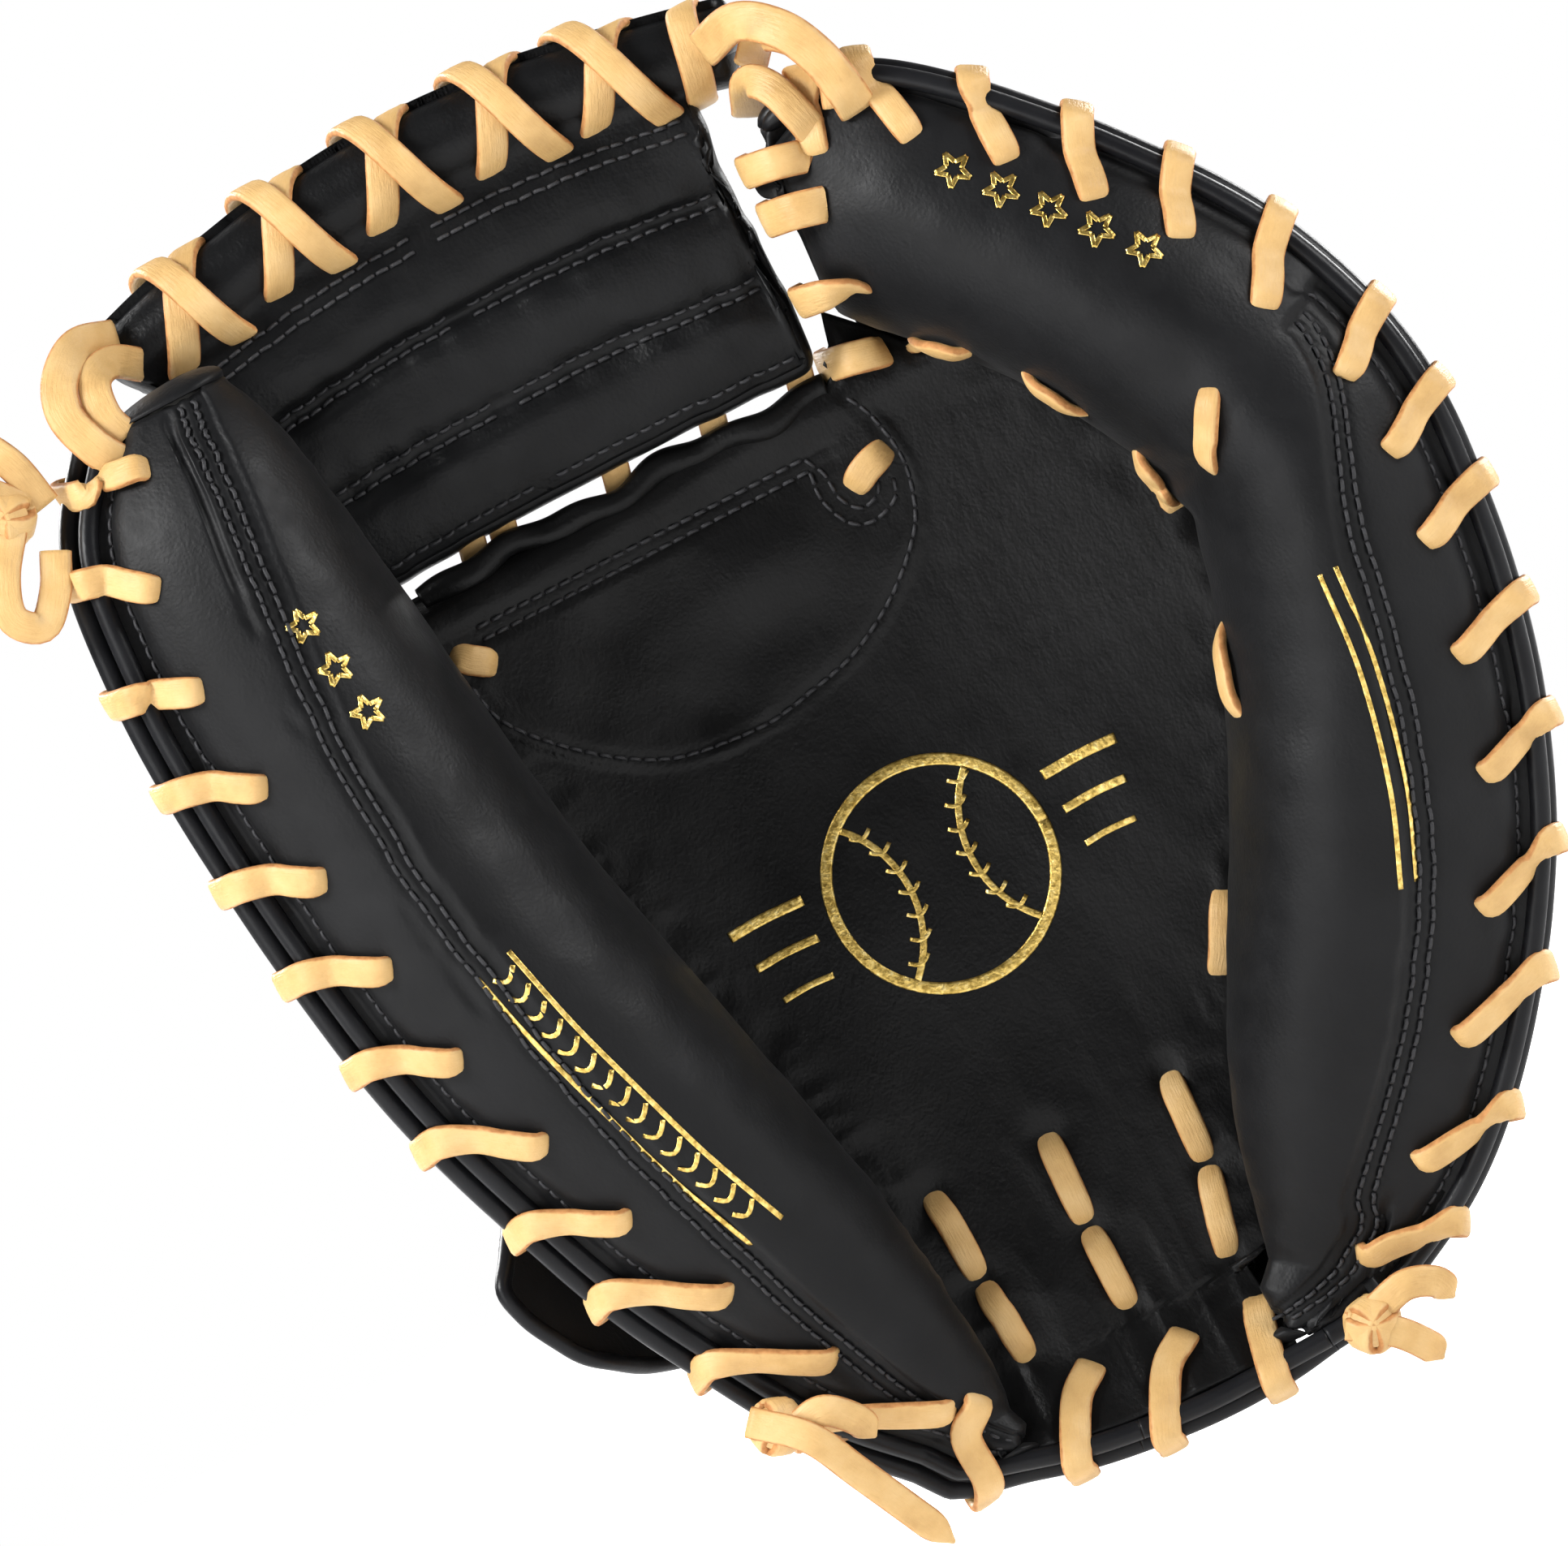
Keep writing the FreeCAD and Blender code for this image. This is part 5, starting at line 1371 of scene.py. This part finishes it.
def build_back():
    hand = back_sheet("hand_back", lambda x: -19.0 + 0 * x, lambda x: 61.0 + 0 * x,
                      ("hand_back_panel", "crotch_back_panel"), "shell_leather")
    back_cord("hand_opening_edge", hand[0] + np.array([0, -1.2, -0.6]) * MM, 1.7)
    heel_x, heel_z = HEEL_BACK[:, 0] / MM, HEEL_BACK[:, 2] / MM
    heel = back_sheet("heel_back", lambda x: np.interp(x, heel_x, heel_z) + 1.0, lambda x: -99.5 + 0 * x,
                      ("heel_back_panel",), "shell_leather", 0.3)
    back_cord("wrist_edge", heel[-1] + np.array([0, -0.8, 0.8]) * MM, 1.9, "wrist_binding")


def build_strap():
    z0, z1 = (corner[2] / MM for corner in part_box("strap_band"))
    grid = back_sheet("strap_band_skin", lambda x: z0 + 0 * x, lambda x: z1 + 0 * x, ("strap_band",),
                      "strap_leather", 0.15, (2.6, 5.2))
    for number, row in enumerate((0, -1)):
        back_cord(f"strap_edge_{number + 1}", grid[row] + level(0, 0, 1.0), 1.3)


def swept_sheet(name, spacing=1.2, columns=64):
    """Outer face of a sheet that wraps the thumb's back, row by row."""
    tree, owner = tree_of(cad(name))
    low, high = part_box(name)
    rows = []
    for z in np.arange(low[2] / MM + 0.4, high[2] / MM - 0.4, spacing):
        line, _ = sweep(tree, owner, level(-58, z, 45), np.array([1.0, 0, 0]), np.arange(25, -165, -1.0))
        if len(line) > 8:
            rows.append(resample(line, columns))
    return smooth(smooth(np.array(rows), 2, 0), 2, 1)


def loop_of(grid, inset=0):
    g = grid[inset : len(grid) - inset, inset : grid.shape[1] - inset]
    return np.vstack([g[0], g[1:, -1], g[-1, -2::-1], g[-2:0:-1, 0], g[:1, 0]])


def build_tongue():
    grid = swept_sheet("strap_tongue")
    N = grid_normals(grid, BACK_SIDE)
    lift = -0.3 * np.abs(value_noise(grid, 8, 41)) + 0.3 * value_noise(grid, 22, 42)
    grid = grid + N * (lift * MM)[..., None]
    outward = (-0.6, 0.8, 0)
    finish(sheet_object("strap_tongue_skin", grid, 1.8, BACK_LEATHER, outward), TONGUE_BEND, "strap_leather",
           "strap_tongue")
    rim = smooth(resample(loop_of(grid) - np.array([-0.5, 0.7, 0]) * MM, 220), 3)
    cord = merge_rings("strap_tongue_edge", [cord_parts(rim, 1.5)], WELT_LEATHER)
    finish(cord, TONGUE_BEND, "welt_leather")
    line, normal = resample(loop_of(grid, 3), 260), resample(loop_of(N, 3), 260)
    finish(merge_rings("strap_tongue_stitches", stitch_row(line + normal * 0.05 * MM, normal), THREAD),
           TONGUE_BEND, "welt_leather")
    for name, body in (("loop_patch", "thumb"), ("hook_patch", "tongue")):
        patch = swept_sheet(name, 1.0, 60)
        N = grid_normals(patch, BACK_SIDE)
        fuzz = 0.25 * np.abs(value_noise(patch, 1.4, 43)) + 0.15 * value_noise(patch, 3, 44)
        pile = patch + N * (fuzz * MM)[..., None] - N * 0.2 * MM
        finish(sheet_object(name + "_pile", pile, 0.9, TAPE, outward), body, "hook_loop", name)


def build_lining():
    """Soft lining behind the palm, seen through the wrist opening."""
    low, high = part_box("palm_pad")
    x = np.linspace(low[0] / MM - 1, high[0] / MM + 1, 80)[None]
    z = np.linspace(low[2] / MM - 0.5, high[2] / MM - 14, 120)[:, None]
    grid = heights(["palm_lining", "heel_pad", "palm_pad"], x + 0 * z, z + 0 * x, True, rounds=3)
    for _ in range(3):
        for axis in (0, 1):
            y = grid[..., 1]
            grid[..., 1] = np.maximum(y, np.maximum(np.roll(y, 1, axis), np.roll(y, -1, axis)))
    grid[..., 1] = smooth(smooth(grid[..., 1], 9, 0), 9, 1)
    grid[..., 1] += MM * (1.2 + 0.5 * np.abs(value_noise(grid * [1, 0, 0.5], 12, 45)))
    rolls = Facing([piece("thumb_back_skin"), piece("finger_back_skin")], True)
    for i, j in np.ndindex(grid.shape[:2]):
        found = rolls.at(*grid[i, j, [0, 2]] / MM)
        if found is not None:
            grid[i, j, 1] = min(grid[i, j, 1], found[0][1] - 4.5 * MM)
    finish(sheet_object("palm_lining_skin", grid, 1.0, LINING_LEATHER, BACK_SIDE), FINGER_FOLD,
           "lining_leather", "palm_lining")


def dress_inner_nodes():
    """Materials for the pads and linings that show as their CAD solids."""
    for ending, material in (("_pad", FELT), ("_lining", LINING_LEATHER)):
        for name in NODES:
            if name.endswith(ending):
                NODES[name].data.materials.clear()
                NODES[name].data.materials.append(material)


build_back()
build_strap()
build_tongue()
build_lining()
dress_inner_nodes()


# ---- gold foil: plain ornament, no lettering ----
def foil_line(face, points, width=1.1, count=60):
    P, N = face.path(points, count, 0.12)
    return ribbon_parts(P, N, width, 0.16, sides=8)


def arc(centre, radius, first, last, count=24):
    q = np.radians(np.linspace(first, last, count))
    return [(centre[0] + radius * math.cos(a), centre[1] + radius * math.sin(a)) for a in q]


def star(face, centre, radius):
    tips = [(centre[0] + r * math.sin(a), centre[1] + r * math.cos(a))
            for k in range(11) for a, r in [(k * math.pi / 5, radius if k % 2 == 0 else radius * 0.42)]]
    return [foil_line(face, [a, ((a[0] + b[0]) / 2, (a[1] + b[1]) / 2), b], 0.9, 6)
            for a, b in zip(tips[:-1], tips[1:])]


def ball(face, centre, radius):
    """A ball seen from the side: rim, two curved seams and their stitches."""
    parts = [foil_line(face, arc(centre, radius, 0, 360, 50), 2.2, 130)]
    for side in (-1, 1):
        middle = 90 + side * 90
        seam = arc((centre[0] + side * radius * 1.32, centre[1]), radius * 1.02, middle - 46, middle + 46)
        parts.append(foil_line(face, seam, 1.3))
        parts += [foil_line(face, [(x - 2.0, z + 1.3), (x, z), (x + 2.0, z + 1.3)], 0.8, 8)
                  for x, z in seam[2:22:3]]
    return parts


def palm_ornament():
    """A ball with three bars on each side."""
    face, (x0, z0) = Facing([PALM]), (15.0, -20.0)
    parts = ball(face, (x0, z0), 20.0)
    for side in (-1, 1):
        for k, reach in enumerate((26, 23, 20)):
            x, z = x0 + side * 23.5, z0 + 7 - 7 * k
            bar = [(x + side * k * 0.6, z), (x + side * reach * 0.3, z + 0.3), (x + side * reach * 0.55, z)]
            parts.append(foil_line(face, bar, 2.0 - 0.4 * k, 24))
    return parts


def thumb_ornament():
    """Chevrons between two lines, and three stars."""
    face = Facing([piece("thumb_front_skin")])
    line = [(-60, 2), (-56, -14), (-51, -30), (-46, -45), (-40, -60)]
    parts = [foil_line(face, [(x + s, z + s * 0.25) for x, z in line], 1.0, 90) for s in (-3.4, 3.4)]
    for x, z in spline(line, 17)[1:16]:
        parts.append(foil_line(face, [(x - 2.2, z + 1.6), (x, z), (x + 2.0, z + 2.4)], 0.9, 8))
    for k in range(3):
        parts += star(face, (-62 + 1.5 * k, 68 - 9 * k), 3.0)
    return parts


def finger_ornament():
    """Five stars and two lines."""
    face = Facing([piece("finger_front_skin")])
    parts = []
    for k in range(5):
        parts += star(face, (72 + 5.6 * k, 86 - 6.8 * k), 3.2)
    line = [(95, -4), (93.5, -22), (89, -42), (83, -58)]
    return parts + [foil_line(face, [(x + shift, z) for x, z in line], 0.9, 90) for shift in (0.0, 3.0)]


for ornament, place, build in (("palm", FINGER_FOLD, palm_ornament), ("thumb", "thumb", thumb_ornament),
                               ("finger", "fingers", finger_ornament)):
    finish(merge_rings(ornament + "_ornament", build(), FOIL), place, "lace_rawhide")


# ---- stage ----
FLOOR_REACH = 3.0  # from the middle to each side, in metres
CAMERA_ROLL = 27.5  # degrees
CAMERA_PLACE = (-0.00115, -2.314, 0.0081)
LIGHTS = (("key", (-1.25, -0.85, 1.15), 0.7, 46), ("side", (1.35, -0.6, 0.55), 0.6, 17),
          ("low", (-0.9, -0.9, -0.1), 0.8, 8), ("rear_left", (-0.9, 1.2, 0.9), 0.7, 30),
          ("rear_right", (1.1, 1.1, 0.5), 0.7, 22))  # place, size in metres and power in watts


def build_stage():
    mat, tree, bsdf = nodes_of("white_floor")
    where = coords(tree)
    noise_colour(tree, bsdf, where, 3, 2, [(0.2, grey(0.93)), (0.8, grey(0.96))])
    bsdf.inputs["Roughness"].default_value = 0.6
    # Painted light: only camera rays see the floor glow white. The glow is weaker near the mitt, so its real
    # shadow shows, and full far off, so the floor fades into the white world.
    bsdf.inputs["Emission Color"].default_value = (1, 1, 1, 1)
    ray = tree.nodes.new("ShaderNodeLightPath")
    far = tree.nodes.new("ShaderNodeVectorMath")
    far.operation = "LENGTH"
    tree.links.new(where, far.inputs[0])
    painted_glow = node(tree, "ShaderNodeMapRange")
    for slot, value in zip(("From Min", "From Max", "To Min", "To Max"), (0.25, 0.9, 0.72, 1.0)):
        painted_glow.inputs[slot].default_value = value
    tree.links.new(far.outputs["Value"], painted_glow.inputs["Value"])
    tree.links.new(math_node(tree, "MULTIPLY", ray.outputs["Is Camera Ray"], painted_glow.outputs["Result"]),
                   bsdf.inputs["Emission Strength"])
    s, z = FLOOR_REACH, REST_BOUNDS[0][2] - 0.001
    floor = mesh_object("floor", [(-s, -s, z), (s, -s, z), (s, s, z), (-s, s, z)], [(0, 1, 2, 3)], mat)
    world = bpy.data.worlds.new("studio")
    bpy.context.scene.world = world
    world.use_nodes = True
    back = world.node_tree.nodes["Background"]
    back.inputs["Color"].default_value = (1, 1, 1, 1)
    path = world.node_tree.nodes.new("ShaderNodeLightPath")
    world.node_tree.links.new(math_node(world.node_tree, "MAXIMUM", path.outputs["Is Camera Ray"], 0.12),
                              back.inputs["Strength"])
    bpy.context.scene.view_settings.view_transform = "Standard"


def area_light(name, place, size, power):
    data = bpy.data.lights.new(name, "AREA")
    data.shape, data.size, data.energy = "SQUARE", size, power
    obj = bpy.data.objects.new(name, data)
    obj.location = place
    obj.rotation_euler = (-Vector(place)).to_track_quat("-Z", "Y").to_euler()
    bpy.context.scene.collection.objects.link(obj)


def build_camera():
    """Long lens, square on to the palm, turned so that the mitt leans to the right."""
    data = bpy.data.cameras.new("camera")
    data.lens, data.sensor_width = 300, 36
    obj = bpy.data.objects.new("camera", data)
    turn = math.radians(CAMERA_ROLL)
    right = Vector((math.cos(turn), 0, -math.sin(turn)))
    up = Vector((math.sin(turn), 0, math.cos(turn)))
    obj.matrix_world = Matrix((right, up, Vector((0, -1, 0)))).transposed().to_4x4()
    obj.location = CAMERA_PLACE
    bpy.context.scene.collection.objects.link(obj)
    bpy.context.scene.camera = obj


build_stage()
for light in LIGHTS:
    area_light(*light)
build_camera()
